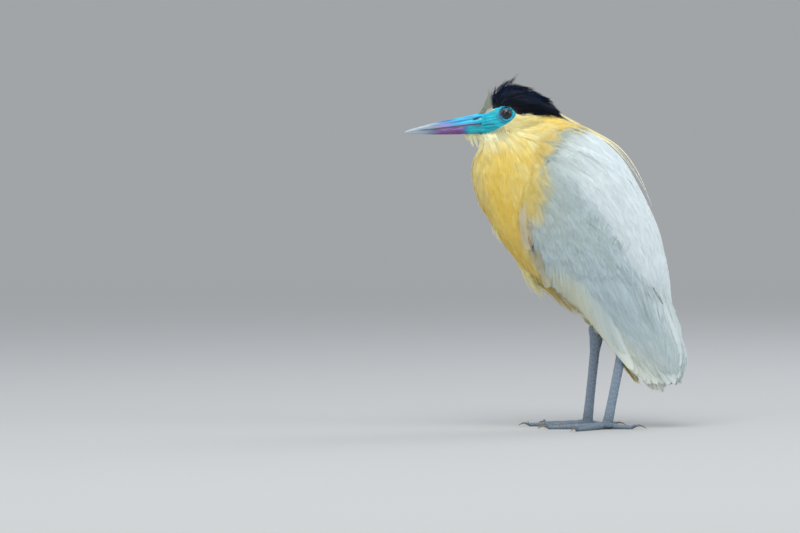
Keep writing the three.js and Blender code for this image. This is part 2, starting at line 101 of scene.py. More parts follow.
def mix(a: Array, b: Array, share: Array) -> Array:
    """Colours or places a turned into b by a share for each row."""
    return a + (b - a) * np.asarray(share)[..., None]


def bell(values: Array, width: float) -> Array:
    """A bell curve of height 1 round 0."""
    return np.exp(-((values / width) ** 2))


def inside(outline: Sequence[Pair], y: Array, z: Array) -> Array:
    """How deep places lie inside an outline on the bird's side.

    Args:
        outline: its corners as (y, z).
        y: the places' y.
        z: the places' z.
    Returns:
        The depth in millimetres, below 0 outside.
    """
    corners = np.array(outline, float)
    nearest = np.full(y.shape, np.inf)
    within = np.zeros(y.shape, bool)
    for (ay, az), (by, bz) in zip(corners, np.roll(corners, -1, 0)):
        span = (by - ay) ** 2 + (bz - az) ** 2
        t = np.clip(((y - ay) * (by - ay) + (z - az) * (bz - az)) / span, 0, 1)
        nearest = np.minimum(nearest, np.hypot(y - ay - t * (by - ay), z - az - t * (bz - az)))
        if az != bz:
            within ^= ((az > z) != (bz > z)) & (y < ay + (z - az) * (by - ay) / (bz - az))
    return np.where(within, nearest, -nearest)


def through(xs: Array, knots: Array, values: Sequence[float]) -> Array:
    """A smooth curve through knots, read at xs.

    Args:
        xs: where to read it.
        knots: rising places of the known values.
        values: the known values.
    Returns:
        The curve's values, by Hermite pieces with finite difference slopes.
    """
    known = np.asarray(values, float)
    slopes = np.gradient(known, knots)
    xs = np.clip(xs, knots[0], knots[-1])
    i = np.clip(np.searchsorted(knots, xs) - 1, 0, len(knots) - 2)
    gap = knots[i + 1] - knots[i]
    t = (xs - knots[i]) / gap
    rise = known[i] * (1 + 2 * t) * (1 - t) ** 2 + known[i + 1] * t * t * (3 - 2 * t)
    return rise + gap * (slopes[i] * t * (1 - t) ** 2 - slopes[i + 1] * t * t * (1 - t))


def ripples(points: Array, wavelength: float, seed: int) -> Array:
    """A smooth wandering field over space, made of a few sine waves.

    Args:
        points: places, N x 3.
        wavelength: the usual distance between its crests.
        seed: which field.
    Returns:
        N numbers, mostly from -1 to 1.
    """
    random = np.random.default_rng(seed)
    waves = unit(random.normal(size=(7, 3))) * random.uniform(0.7, 1.5, (7, 1)) * (2 * math.pi / wavelength)
    phases = random.uniform(0, 2 * math.pi, 7)
    return np.sin(points @ waves.T + phases).sum(1) / 2.6


def smoothed(line: Array, times: int) -> Array:
    """A line with its inner points drawn towards their neighbours."""
    for _ in range(times):
        line = np.concatenate([line[:1], (line[:-2] + line[1:-1] + line[2:]) / 3, line[-1:]])
    return line


def starts_of(groups: Sequence[Array]) -> Array:
    """The number of each group's first point once the groups are joined."""
    return np.cumsum([0] + [len(group) for group in groups[:-1]])


# ---- The bird's axes and surfaces ----------------------------------------------------------------


class BirdAxes:
    """The bird's own millimetres: x left of its midline, y behind its ankles, z over the floor."""

    EYES_AHEAD = 89.0  # how far the eyes lie ahead of the ankles' midpoint

    def __init__(self) -> None:
        """Finds the axes from the bill's midline and the eyes."""
        bill_low, bill_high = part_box("bill_upper")
        eye_low, eye_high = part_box("eye_left")
        ankles = (eye_low.y + eye_high.y) / 2 + self.EYES_AHEAD * MM
        self.zero = np.array([(bill_low.x + bill_high.x) / 2, ankles, 0.0])
        self.eye = self.read(np.array((eye_low + eye_high) / 2))

    def read(self, metres: Array) -> Array:
        """Frame metres as bird millimetres."""
        return (metres - self.zero) / MM

    def write(self, millimetres: Array) -> Array:
        """Bird millimetres as frame metres."""
        return millimetres * MM + self.zero


AXES = BirdAxes()
EYE = AXES.eye


def mesh_arrays(mesh: bpy.types.Mesh) -> tuple[Array, Array]:
    """A mesh's points and triangles as arrays.

    Args:
        mesh: what to read.
    Returns:
        N x 3 points in the mesh's own units and M x 3 triangles.
    """
    points = np.zeros(len(mesh.vertices) * 3)
    mesh.vertices.foreach_get("co", points)
    mesh.calc_loop_triangles()
    corners = np.zeros(len(mesh.loop_triangles) * 3, int)
    mesh.loop_triangles.foreach_get("vertices", corners)
    return points.reshape(-1, 3), corners.reshape(-1, 3)


class Surface:
    """A triangle mesh in bird millimetres that can be searched, cut and struck by rays."""

    def __init__(self, points: Array, triangles: Array) -> None:
        """Takes points N x 3 and triangles M x 3."""
        self.points = points
        self.triangles = triangles
        self.tree = BVHTree.FromPolygons(points.tolist(), triangles.tolist())
        a, b, c = (points[triangles[:, k]] for k in range(3))
        self.face_normals = np.cross(b - a, c - a)
        self.areas = np.linalg.norm(self.face_normals, axis=1) / 2
        normals = np.zeros_like(points)
        for k in range(3):
            np.add.at(normals, triangles[:, k], self.face_normals)
        self.normals = unit(normals)

    @classmethod
    def of(cls, node: str) -> "Surface":
        """A CAD node's surface, with its equal points merged."""
        points, triangles = mesh_arrays(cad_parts[node].data)
        merged, inverse = np.unique(np.round(points * 1e6).astype(np.int64), axis=0, return_inverse=True)
        return cls(AXES.read(merged * 1e-6), inverse.ravel()[triangles])

    def normal_at(self, spots: Array, faces: Array) -> Array:
        """Smooth normals at spots, shared out between the corners of their faces."""
        corners, out = self.triangles[faces], self.face_normals[faces]
        a, b, c = (self.points[corners[:, k]] for k in range(3))
        whole = np.maximum(dot(out, out), 1e-12)
        u = dot(np.cross(c - b, spots - b), out) / whole
        v = dot(np.cross(a - c, spots - c), out) / whole
        return unit((self.normals[corners] * np.stack([u, v, 1 - u - v], 1)[..., None]).sum(1))

    def nearest(self, places: Array) -> tuple[Array, Array, Array]:
        """The surface nearest to each place.

        Args:
            places: N x 3.
        Returns:
            Spots on the surface, their smooth normals and their faces.
        """
        found = [self.tree.find_nearest(place) for place in places.tolist()]
        spots = np.array([spot[:] for spot, _, _, _ in found])
        faces = np.array([face for _, _, face, _ in found])
        return spots, self.normal_at(spots, faces), faces

    def strike(self, starts: Array, ways: Array) -> Array:
        """How far a ray from each start runs to the surface, NaN where it misses."""
        struck = [self.tree.ray_cast(start, way)[3] for start, way in zip(starts.tolist(), ways.tolist())]
        return np.array([np.nan if reach is None else reach for reach in struck])

    def middle(self, at: Array, way: Array, reach: float = 1e9) -> Array:
        """The middle of the section by a plane.

        Args:
            at: a point of the plane.
            way: the plane's normal.
            reach: how far from at the section may lie.
        Returns:
            The section's middle, or at where it is empty.
        """
        heights = (self.points - at) @ way
        a, b = self.triangles.ravel(), np.roll(self.triangles, -1, axis=1).ravel()
        crossing = (heights[a] < 0) != (heights[b] < 0)
        a, b = a[crossing], b[crossing]
        share = heights[a] / (heights[a] - heights[b])
        spots = self.points[a] + (self.points[b] - self.points[a]) * share[:, None]
        spots = spots[np.linalg.norm(spots - at, axis=1) < reach]
        return (spots.max(0) + spots.min(0)) / 2 if len(spots) else at

    def core(self, levels: Array) -> Array:
        """The middles of level sections."""
        return np.array([self.middle(UP * level, UP) for level in levels])


def mesh_object(name: str, points: Array, faces: Sequence[Array], tint: Array | None = None,
                maps: dict[str, Array] | None = None, normals: Array | None = None) -> Piece:
    """Makes a mesh object from arrays.

    Args:
        name: the piece's name.
        points: N x 3 in bird millimetres.
        faces: arrays of faces, each M x 3 or M x 4.
        tint: a linear colour for each point, kept as the attribute that the finishes read.
        maps: UV maps by name, a pair for each point.
        normals: N x 3 ways that the points are shaded by, where not the faces' own.
    Returns:
        The object, linked to the scene.
    """
    mesh = bpy.data.meshes.new(name)
    loops = np.concatenate([group.ravel() for group in faces]).astype(np.int32)
    sizes = np.concatenate([np.full(len(group), group.shape[1], np.int32) for group in faces])
    mesh.vertices.add(len(points))
    mesh.vertices.foreach_set("co", AXES.write(points).astype(np.float32).ravel())
    mesh.loops.add(len(loops))
    mesh.loops.foreach_set("vertex_index", loops)
    mesh.polygons.add(len(sizes))
    mesh.polygons.foreach_set("loop_start", (np.cumsum(sizes) - sizes).astype(np.int32))
    mesh.polygons.foreach_set("loop_total", sizes)
    mesh.polygons.foreach_set("use_smooth", np.full(len(sizes), True))
    for map_name, pairs in (maps or {}).items():
        layer = mesh.uv_layers.new(name=map_name)
        layer.data.foreach_set("uv", pairs[loops].astype(np.float32).ravel())
    if tint is not None:
        rows = np.ones((len(points), 4), np.float32)
        rows[:, :3] = np.clip(tint, 0, 1)
        mesh.color_attributes.new("tint", "FLOAT_COLOR", "POINT").data.foreach_set("color", rows.ravel())
    mesh.update(calc_edges=True)
    mesh.validate()
    if normals is not None:
        mesh.normals_split_custom_set_from_vertices(normals.tolist())
    made = bpy.data.objects.new(name, mesh)
    bpy.context.scene.collection.objects.link(made)
    return made


def grid_faces(rows: int, columns: int, closed: bool = True) -> Array:
    """Quads between the points of a grid.

    Args:
        rows: how many rows of points.
        columns: how many points a row has.
        closed: whether each row's end joins its start.
    Returns:
        The quads, M x 4.
    """
    r = np.arange(rows - 1)[:, None] * columns
    c = np.arange(columns if closed else columns - 1)[None, :]
    after = (c + 1) % columns
    return np.stack([r + c, r + after, r + columns + after, r + columns + c], -1).reshape(-1, 4)


def fan_faces(centre: int, ring: Array) -> Array:
    """Triangles from one point to each pair of neighbours in a run of points."""
    return np.stack([np.full(len(ring) - 1, centre), ring[:-1], ring[1:]], 1)


@dataclass
class Shape:
    """Points, faces and tints of one closed or open form, ready to be joined with others."""

    points: Array
    faces: list[Array]
    tint: Array

    @staticmethod
    def joined(shapes: Sequence["Shape"]) -> "Shape":
        """Several shapes as one."""
        starts = starts_of([shape.points for shape in shapes])
        faces = [group + start for shape, start in zip(shapes, starts) for group in shape.faces]
        points, tint = (np.concatenate([getattr(s, key) for s in shapes]) for key in ("points", "tint"))
        return Shape(points, faces, tint)


def relaxed(triangles: Array, values: Array, times: int, hold: Array | float = 0.0) -> Array:
    """Values on a mesh, each moved halfway to its neighbours' mean several times.

    Args:
        triangles: the mesh's triangles.
        values: a row for each point.
        times: how often.
        hold: from 0, free, to 1, held, for each point.
    Returns:
        The relaxed values.
    """
    total = len(values)
    a, b = triangles.ravel(), np.roll(triangles, -1, axis=1).ravel()
    count = np.maximum(np.bincount(a, minlength=total), 1)[:, None]
    made = values.reshape(total, -1).astype(float)
    free = 0.5 * (1 - np.broadcast_to(hold, total))[:, None]
    for _ in range(times):
        sums = np.stack([np.bincount(a, made[b, k], total) for k in range(made.shape[1])], 1)
        made += (sums / count - made) * free
    return made.reshape(values.shape)


def largest_body(points: Array, triangles: Array) -> tuple[Array, Array]:
    """Only the largest connected body of a mesh.

    Args:
        points: the mesh's points.
        triangles: its triangles.
    Returns:
        The points and triangles of that body.
    """
    label = np.arange(len(points))
    a, b = triangles.ravel(), np.roll(triangles, -1, axis=1).ravel()
    while True:
        low = label.copy()
        np.minimum.at(low, a, label[b])
        np.minimum.at(low, b, label[a])
        low = low[low]
        if (low == label).all():
            break
        label = low
    names, counts = np.unique(label, return_counts=True)
    keep = label == names[counts.argmax()]
    return points[keep], (np.cumsum(keep) - 1)[triangles[keep[triangles[:, 0]]]]


# ---- Colours and markings ------------------------------------------------------------------------


@dataclass(frozen=True)
class Palette:
    """The bird's colours, linear."""

    mantle: Colour = (0.73, 0.815, 0.84)
    wing: Colour = (0.52, 0.64, 0.68)
    cottony: Colour = (0.50, 0.58, 0.545)
    wing_edge: Colour = (0.71, 0.67, 0.41)
    wrist: Colour = (0.60, 0.53, 0.36)
    alula: Colour = (0.45, 0.43, 0.31)
    lobe: Colour = (0.52, 0.60, 0.58)
    # painted shadow: the dark strands along the shoulder feathers' lower edge
    shade: Colour = (0.20, 0.21, 0.15)
    primary_tip: Colour = (0.73, 0.77, 0.71)
    plume_tip: Colour = (0.93, 0.98, 1.0)
    yellow: Colour = (0.92, 0.66, 0.10)
    orange: Colour = (0.92, 0.54, 0.06)
    pale: Colour = (0.95, 0.82, 0.34)
    cream: Colour = (0.93, 0.86, 0.48)
    olive: Colour = (0.50, 0.42, 0.10)
    brown: Colour = (0.16, 0.11, 0.04)
    belly: Colour = (0.66, 0.52, 0.16)
    chin: Colour = (0.98, 0.92, 0.58)
    tuft: Colour = (0.40, 0.44, 0.37)
    cap: Colour = (0.003, 0.005, 0.009)
    # painted sheen: the cap's lighter blue
    cap_sheen: Colour = (0.006, 0.018, 0.055)
    turquoise: Colour = (0.002, 0.44, 0.54)
    sky: Colour = (0.012, 0.66, 0.86)
    deep_blue: Colour = (0.005, 0.07, 0.22)
    bright_blue: Colour = (0.004, 0.30, 0.66)
    teal: Colour = (0.01, 0.30, 0.35)
    purple: Colour = (0.20, 0.065, 0.27)
    violet: Colour = (0.42, 0.26, 0.62)
    horn: Colour = (0.17, 0.25, 0.35)
    horn_tip: Colour = (0.40, 0.48, 0.55)
    # painted shade for creases and openings: the gape, the bill's seam, the nostril and the lid's inner rim
    painted_crease_shade: Colour = (0.03, 0.02, 0.07)
    lid: Colour = (0.06, 0.34, 0.52)
    leg: Colour = (0.12, 0.17, 0.235)
    leg_pale: Colour = (0.33, 0.41, 0.50)
    claw: Colour = (0.20, 0.16, 0.11)
    iris: Colour = (0.007, 0.014, 0.036)
    iris_rim: Colour = (0.050, 0.022, 0.027)
    iris_edge: Colour = (0.004, 0.005, 0.012)
    pupil: Colour = (0.002, 0.002, 0.004)
    # painted shade: the dark strands that stand for the gaps between the shoulder feathers' barbs
    stroke: Colour = (0.36, 0.41, 0.36)


PALETTE = Palette()


def row(name: str) -> Array:
    """One colour of the palette as an array."""
    return np.array(getattr(PALETTE, name))


class Paint:
    """Colours laid one over another."""

    def __init__(self, colours: Array) -> None:
        """Starts from the lowest."""
        self.made = colours

    def over(self, name: str, share: Array, gain: float | Sequence[float] = 1.0) -> None:
        """Lays a palette colour over the others, by a share for each place and brightened by a gain."""
        self.made = mix(self.made, row(name) * gain, share)


class Part(Enum):
    """The flesh nodes that the one skin stands for."""

    HEAD = "head"
    CREST = "crest"
    NECK = "neck"
    TRUNK = "trunk"
    TAIL = "tail"
    WING_LEFT = "wing_left"
    WING_RIGHT = "wing_right"
    THIGH_LEFT = "thigh_left"
    THIGH_RIGHT = "thigh_right"


PARTS = list(Part)
WINGS = (Part.WING_LEFT, Part.WING_RIGHT)
THIGHS = (Part.THIGH_LEFT, Part.THIGH_RIGHT)


def among(parts: Array, *chosen: Part) -> Array:
    """Which of the indices in PARTS are those of the chosen parts."""
    return np.isin(parts, [PARTS.index(part) for part in chosen])


# Patches and lines on the bird's side that part its colours and feather tracts. A patch lists its corners as
# (y, z), and a line lists its ys and then its zs.
FACE = (
    (-122, 318), (-116, 314.2), (-108, 314.8), (-103.2, 317.2), (-98.6, 319.8), (-94, 321.4), (-90.5, 321.9),
    (-86.5, 320.9), (-82.5, 318), (-79.3, 314.3), (-79.4, 312.8), (-82, 309.6), (-85.9, 306), (-89.4, 303.6),
    (-94, 301.3), (-99.7, 297.9), (-105.5, 295.2), (-112.3, 293.6), (-122, 291),
)
TUFT = ((-118, 314), (-112.8, 318.5), (-109.8, 324), (-108.2, 332), (-106.6, 341), (-102.6, 341), (-103.4, 330),
        (-102.8, 316), (-108, 314))
WRIST = ((-66, 226), (-71.5, 216), (-75.2, 203), (-74.6, 192), (-71, 184), (-65, 179.5), (-62.5, 182),
         (-62.5, 200), (-63, 216))
ALULA = ((-60, 167), (-57, 157), (-49, 142), (-40, 143), (-39, 160), (-47, 164))
CAP_EDGE = ([-106, -104, -94, -78, -60, -51, -41, -30], [318, 318.4, 320.8, 313.8, 311.6, 312.2, 315.5, 316])
SCAPULAR = ([-60, -48, -12, 10, 35, 50, 63, 74, 90], [282, 268, 232, 202, 160, 143, 127, 114, 92])
COVERTS_END = ([-60, -42, -20, 10, 34, 50, 80], [176, 168, 166, 167, 163, 146, 128])
WING_LOW = ([-62, -49, -44, -36, -24, -10, 8.4, 23, 40.5, 55, 64],
            [165, 149, 143, 133.5, 127, 114, 92, 74.6, 54.5, 43.8, 40])

# These lines list their zs and then their ys.
YELLOW_BACK = ([120, 133, 143, 156, 180, 200, 214, 223, 243, 262, 278, 288, 295, 300, 305, 314],
               [-30, -36, -47, -54, -66, -74, -62, -57.5, -56, -55, -52, -48, -40, -24, -8, 2])
WING_FRONT = ([141, 145, 156, 164.6, 179.5], [-45, -50, -55, -57.4, -61.5])
STREAM = ([120, 150, 170, 190, 210, 230, 300], [62, 35, 19, 7.5, 2, 0, -2])


def rise(line: Line, y: Array, z: Array) -> Array:
    """How far places lie over a line on the bird's side."""
    return z - np.interp(y, *line)


def behind_yellow(y: Array, z: Array) -> Array:
    """How far places lie behind the edge where yellow turns white."""
    return y - np.interp(z, *YELLOW_BACK)


def ahead(y: Array, z: Array) -> Array:
    """How far places lie ahead of the folded wing's lower front edge."""
    return np.interp(z, *WING_FRONT) - y


def lobes(y: Array, z: Array) -> Array:
    """How deep places lie in the two tan lobes at the wing's front edge."""
    return np.maximum(inside(WRIST, y, z), inside(ALULA, y, z))


def bare_face(points: Array) -> Array:
    """How far each point lies in the bare blue skin between bill and cheek, from 0 to 1."""
    return ease(inside(FACE, points[:, 1], points[:, 2]), -0.35, 0.35)


def gape_gap(y: Array, z: Array) -> Array:
    """Heights over the gape, the line that the bill opens along, where it runs back into the face."""
    return z - (EYE[2] - 10.2 + 0.07 * (y - EYE[1]))


def face_tint(points: Array) -> Array:
    """The bare skin's blues: streaked ahead of the eye, painted shade in its folds, painted light by the bill.

    Args:
        points: places on the face, N x 3.
    Returns:
        Linear colours, N x 3.
    """
    points = points * [0, 1, 1]
    x, y, z = points.T
    out = np.hypot(y - EYE[1], z - EYE[2])
    below = ease(np.sin(np.arctan2(z - EYE[2], y - EYE[1])), 0.45, -0.45)
    grain = ripples(np.stack([x, y * 0.16, z - 0.12 * y], 1), 2.6, 6)
    spots = ripples(points, 1.5, 16)
    gape = gape_gap(y, z)
    skin = Paint(row("turquoise"))
    skin.over("sky", np.clip(0.34 + 0.50 * grain + 0.1 * spots, 0, 0.95))
    skin.over("teal", np.clip(0.75 * ripples(points * [0, 0.16, 1], 2.0, 26) - 0.15, 0, 0.7))
    skin.over("bright_blue", 0.45 * ease(z, 307, 314) * ease(y, -102, -112))
    skin.over("teal", 0.3 * ease(z, 305, 299) * (0.6 + 0.4 * spots))
    # painted shade in the troughs of the folds under the eye and in front of it
    skin.over("deep_blue", 0.85 * below * bell(out - 8.0, 0.6) + 0.6 * below * bell(out - 9.9, 0.5))
    skin.over("deep_blue", 0.75 * bell(out - 7.2, 0.7) * ease(y, -87, -93))
    # painted shade: a dark violet crescent ahead of the eye
    skin.over("violet", 0.5 * bell(y + 95.8, 1.6) * bell(z - 313, 3.6), 0.5)
    # painted shade in the creases along the gape
    skin.over("deep_blue", 0.7 * bell(gape - 3.4 - 0.12 * (y + 110), 0.45) * ease(y, -96, -104))
    skin.over("deep_blue", 0.4 * bell(gape + 3.2 + 0.2 * (y + 110), 0.5) * ease(y, -99, -106))
    skin.over("painted_crease_shade", 0.9 * bell(gape, 0.55) * ease(y, -96, -103))
    # painted light: a lighter band where the face meets the lower bill, against the shade there
    return skin.made * (1 + 0.18 * bell(y + 112.2, 1.5) * ease(z, 307, 303))[:, None]


def upperside(y: Array, z: Array, quick: Array) -> Array:
    """The white upperside: clear over the mantle, mottled grey over the wing, cream along its low edge.

    The wing's mottle is partly painted shade between the feathers' puffs, and a painted shadow
    lies just under the shoulder feathers' lower edge.

    Args:
        y: the places' y.
        z: the places' z.
        quick: a short-waved wandering field there.
    Returns:
        Linear colours, N x 3.
    """
    scapular, edge = rise(SCAPULAR, y, z), rise(WING_LOW, y, z)
    behind = behind_yellow(y, z) + 1.2 * quick
    white = Paint(row("wing"))
    white.over("mantle", ease(scapular, -12, 16))
    white.over("cottony", 0.9 * ease(behind, 36, 6) * ease(z, 185, 212))
    # The coverts' own grey, mottled by a short wave: the mottle is partly painted soft shade between the
    # feathers' puffs.
    white.over("cottony", np.clip(ease(z, 160, 185) * ease(scapular, 0, -12) * (0.35 + 0.5 * quick), 0, 1))
    white.over("primary_tip", 0.6 * ease(z, 120, 60))
    white.over("wing_edge", 0.75 * ease(edge, 34, 4) * ease(y, -46, -26) * ease(y, 78, 58)
               * (0.3 + 0.7 * ease(z, 56, 104)))
    # painted shadow: a darker band just under the shoulder feathers' lower edge
    scapular_painted_shadow = 1 - 0.30 * bell(scapular + 4.0, 4.0) * ease(y, 22, 44) * ease(y, 84, 70)
    return white.made * (1 + 0.18 * ease(z, 140, 70))[:, None] * scapular_painted_shadow[:, None]


def neck_yellow(points: Array) -> Array:
    """The yellow neck and breast, streaked along the lie, orange round the nape, with painted olive shade.

    Args:
        points: places on the bird, N x 3.
    Returns:
        Linear colours, N x 3.
    """
    x, y, z = points.T
    stream = y - np.interp(z, *STREAM)
    streaks = ripples(np.stack([x * 0.5, stream, z * 0.07], 1), 6.5, 12)
    threads = ripples(np.stack([x * 0.5, stream, z * 0.10], 1), 2.6, 13)
    sweep = ripples(np.stack([x * 0.4, y * 0.10, z + 0.22 * y], 1), 3.2, 14)
    band = bell(y + 60 - (z - 288) * 0.6, 8) * ease(z, 270, 286) * ease(z, 316, 306)
    buff = Paint(row("yellow"))
    buff.over("pale", np.clip(0.38 + 0.32 * streaks + 0.18 * threads, 0, 1))
    buff.over("cream", 0.45 * ease(y, -104, -122))
    buff.over("orange", 0.18 * band + 0.30 * bell(y + 22, 14) * bell(z - 309, 5))
    # painted shade: an olive patch low on the neck's side
    buff.over("olive", 0.40 * bell(y + 68, 9) * bell(z - 238, 16))
    buff.over("yellow", 0.6 * ease(z, 232, 200) * ease(y, -108, -84), 0.92)
    cheek = mix(row("pale"), row("cream"), np.clip(0.6 + 0.4 * sweep, 0, 1))
    buff.made = mix(buff.made, cheek, 0.85 * (ease(z, 283, 291) * ease(y, -48, -72)))
    buff.over("chin", 0.85 * ease(z, 285, 290) * ease(y, -86, -98))
    buff.over("tuft", 0.75 * bell(y + 97, 6.5) * bell(z - 294.5, 3.8), (1.3, 1.32, 1.0))
    # painted shadow: an olive line under the chin, where the chin's feathers shade the neck
    jaw = rise(([-118, -114.6, -103, -94], [278, 281, 286.4, 288]), y, z)
    buff.over("olive", 0.7 * bell(jaw, 1.3) * ease(y, -92, -102), 1.2)
    return buff.made


def markings(points: Array, parts: Array) -> Array:
    """The plumage's colours, one set for the skin and for the coat over it.

    Args:
        points: places on the bird, N x 3.
        parts: the index of each place's flesh node in PARTS.
    Returns:
        Linear colours, N x 3.
    """
    _, y, z = points.T
    slow, quick = ripples(points, 46, 1), ripples(points, 13, 2)
    white, buff = upperside(y, z, quick), neck_yellow(points)
    wings, neck, trunk = among(parts, *WINGS), among(parts, Part.NECK), among(parts, Part.TRUNK)
    head, crest = among(parts, Part.HEAD), among(parts, Part.CREST)

    under = Paint(row("belly"))
    under.over("olive", ease(y, -30, 14), 0.8)
    under.over("brown", 0.5 * ease(y, 20, 42) * ease(z, 88, 62))

    behind = behind_yellow(y, z) + 1.2 * quick
    upper = mix(mix(buff, row("cream"), 0.5 * ease(behind, -12, -1)), white, ease(behind, -2, 5))
    front = mix(white, upper, ease(z, 211, 219))
    made = np.where(wings[:, None], front, np.where((neck | trunk)[:, None], upper, buff))
    made = np.where(among(parts, Part.TAIL)[:, None], row("primary_tip") * 0.9, made)
    below = ease(rise(([-60, -40, 0, 40, 80], [146, 137, 122, 98, 80]), y, z), 3, -5)
    shade = np.where(trunk, below, np.where(among(parts, *THIGHS), 1.0, 0.0))
    coat = Paint(mix(made, under.made, np.where(neck, ease(z, 137, 129), shade)))
    coat.over("wrist", 0.9 * ease(lobes(y, z), -0.8, 0.5) * wings)
    coat.over("orange", 0.9 * ease(ahead(y, z), -0.2, 0.8) * ease(z, 181, 178.5) * wings, 0.72)

    cap = ease(rise(CAP_EDGE, y, z), -0.6, 0.4) * ease(y, -105.5, -103.5) * ease(y, -32, -36)
    # The cap is black, with a painted blue sheen that grows towards its top, where the light falls.
    sheen = mix(row("cap"), row("cap_sheen"), np.clip(0.05 + 0.3 * slow + 0.8 * ease(z, 320, 342), 0, 1))
    coat.made = mix(coat.made, sheen, np.where(crest, 1.0, cap * head))
    coat.over("tuft", ease(inside(TUFT, y, z), -1.0, 0.5) * (head | crest) * (1 - bare_face(points)))
    return coat.made


# ---- Finishes ------------------------------------------------------------------------------------


class Tree:
    """A node tree, with short ways to add and join nodes."""

    def __init__(self, owner: Material | bpy.types.World) -> None:
        """Takes the material or world that the tree belongs to."""
        owner.use_nodes = True
        self.owner = owner
        self.nodes = owner.node_tree.nodes
        self.links = owner.node_tree.links

    def feed(self, node: Node, inputs: dict[str | int, object]) -> None:
        """Joins sockets to a node's inputs, and sets the inputs that are given as numbers or colours.

        Args:
            node: the node.
            inputs: a socket, number or colour for each input, by its name or place.
        """
        for key, value in inputs.items():
            if isinstance(value, Socket):
                self.links.new(value, node.inputs[key])
            else:
                node.inputs[key].default_value = value

    def add(self, kind: str, inputs: dict[str | int, object] | None = None, **settings: object) -> Node:
        """Adds a node.

        Args:
            kind: its type, without the common prefix.
            inputs: what feeds it.
            settings: its properties.
        Returns:
            The node.
        """
        node = self.nodes.new("ShaderNode" + kind)
        for key, value in settings.items():
            setattr(node, key, value)
        self.feed(node, inputs or {})
        return node


class Finish(Tree):
    """A material whose Principled shader is fed by the finishes."""

    def __init__(self, name: str) -> None:
        """Starts a material."""
        super().__init__(bpy.data.materials.new(name))
        self.nodes.clear()
        self.shader = self.add("BsdfPrincipled")
        self.output = self.add("OutputMaterial", {"Surface": self.shader.outputs["BSDF"]})

    def noise(self, scale: float, detail: float, place: Socket | None = None) -> Socket:
        """A noise of so many features a metre, over object space unless a place is given."""
        place = place or self.add("TexCoord").outputs["Object"]
        return self.add("TexNoise", {"Scale": scale, "Detail": detail, "Vector": place}).outputs["Fac"]

    def spread(self, value: Socket, low: float, high: float) -> Socket:
        """A value from 0 to 1 remapped to low to high."""
        return self.add("MapRange", {"To Min": low, "To Max": high, "Value": value}).outputs["Result"]

    def maths(self, kind: str, a: Socket, b: Socket | float = 0.0) -> Socket:
        """A Math node of two inputs."""
        return self.add("Math", {0: a, 1: b}, operation=kind).outputs[0]

    def tinted(self, factor: Socket) -> Socket:
        """The tint attribute made brighter or darker by a factor."""
        tint = self.add("Attribute", attribute_name="tint").outputs["Color"]
        return self.add("VectorMath", {0: tint, "Scale": factor}, operation="SCALE").outputs["Vector"]

    def bump(self, height: Socket, strength: float, distance: float) -> Socket:
        """A normal that follows a height."""
        made = self.add("Bump", {"Strength": strength, "Distance": distance, "Height": height})
        return made.outputs["Normal"]

    def finished(self, inputs: dict[str, object]) -> Material:
        """Feeds the shader.

        Args:
            inputs: what feeds each of its inputs.
        Returns:
            The material.
        """
        self.feed(self.shader, inputs)
        return self.owner


@dataclass(frozen=True)
class PlumageFinish:
    """Feather: the markings' colour, faintly uneven, with fine barbs across the vane."""

    name: str
    roughness: float = 0.72
    sheen: float = 0.25
    barbs: float = 0.0
    unevenness: float = 0.05
    relief: float = 0.0
    gloss: float = 0.3

    def material(self) -> Material:
        """Builds the node material."""
        nodes = Finish(self.name)
        wide = nodes.spread(nodes.noise(260, 2), 1 - self.unevenness, 1 + self.unevenness)
        split = nodes.add("SeparateXYZ", {0: nodes.add("UVMap", uv_map="vane").outputs["UV"]})
        lean = nodes.maths("MULTIPLY", nodes.maths("ABSOLUTE", split.outputs["X"]), -0.28)
        along = nodes.maths("ADD", split.outputs["Y"], lean)
        waves = nodes.maths("SINE", nodes.maths("MULTIPLY", along, self.barbs * 2 * math.pi))
        fine = nodes.spread(nodes.maths("MULTIPLY_ADD", waves, 0.5), 0.94, 1.03)
        return nodes.finished({
            "Base Color": nodes.tinted(nodes.maths("MULTIPLY", wide, fine)),
            "Normal": nodes.bump(waves, self.relief, 0.00012),
            "Roughness": nodes.spread(nodes.noise(900, 2), self.roughness - 0.07, self.roughness + 0.07),
            "Sheen Weight": self.sheen,
            "Sheen Roughness": 0.4,
            "Specular IOR Level": self.gloss,
        })


@dataclass(frozen=True)
class SkinFinish:
    """Bare skin and down: the markings' colour with pebbled pores."""

    name: str
    roughness: float = 0.5
    pores: float = 1500.0

    def material(self) -> Material:
        """Builds the node material."""
        nodes = Finish(self.name)
        place = nodes.add("TexCoord").outputs["Object"]
        cells = nodes.add("TexVoronoi", {"Scale": self.pores, "Vector": place})
        return nodes.finished({
            "Base Color": nodes.tinted(nodes.spread(nodes.noise(420, 4), 0.82, 1.15)),
            "Normal": nodes.bump(cells.outputs["Distance"], 0.45, 0.00022),
            "Roughness": nodes.spread(nodes.noise(700, 2), self.roughness - 0.1, self.roughness + 0.12),
            "Specular IOR Level": 0.4,
        })


@dataclass(frozen=True)
class HornFinish:
    """Horn: long streaks along the piece under a soft gloss."""

    name: str
    roughness: float = 0.34
    streaks: float = 900.0

    def material(self) -> Material:
        """Builds the node material."""
        nodes = Finish(self.name)
        place = nodes.add("TexCoord").outputs["Object"]
        drawn = nodes.add("Mapping", {"Scale": (1.0, 0.07, 1.0), "Vector": place}).outputs["Vector"]
        noise = nodes.noise(self.streaks, 3, drawn)
        return nodes.finished({
            "Base Color": nodes.tinted(nodes.spread(noise, 0.78, 1.22)),
            "Normal": nodes.bump(noise, 0.3, 0.00012),
            "Roughness": nodes.spread(nodes.noise(600, 2), self.roughness - 0.06, self.roughness + 0.1),
            "Coat Weight": 0.25,
            "Coat Roughness": 0.25,
        })


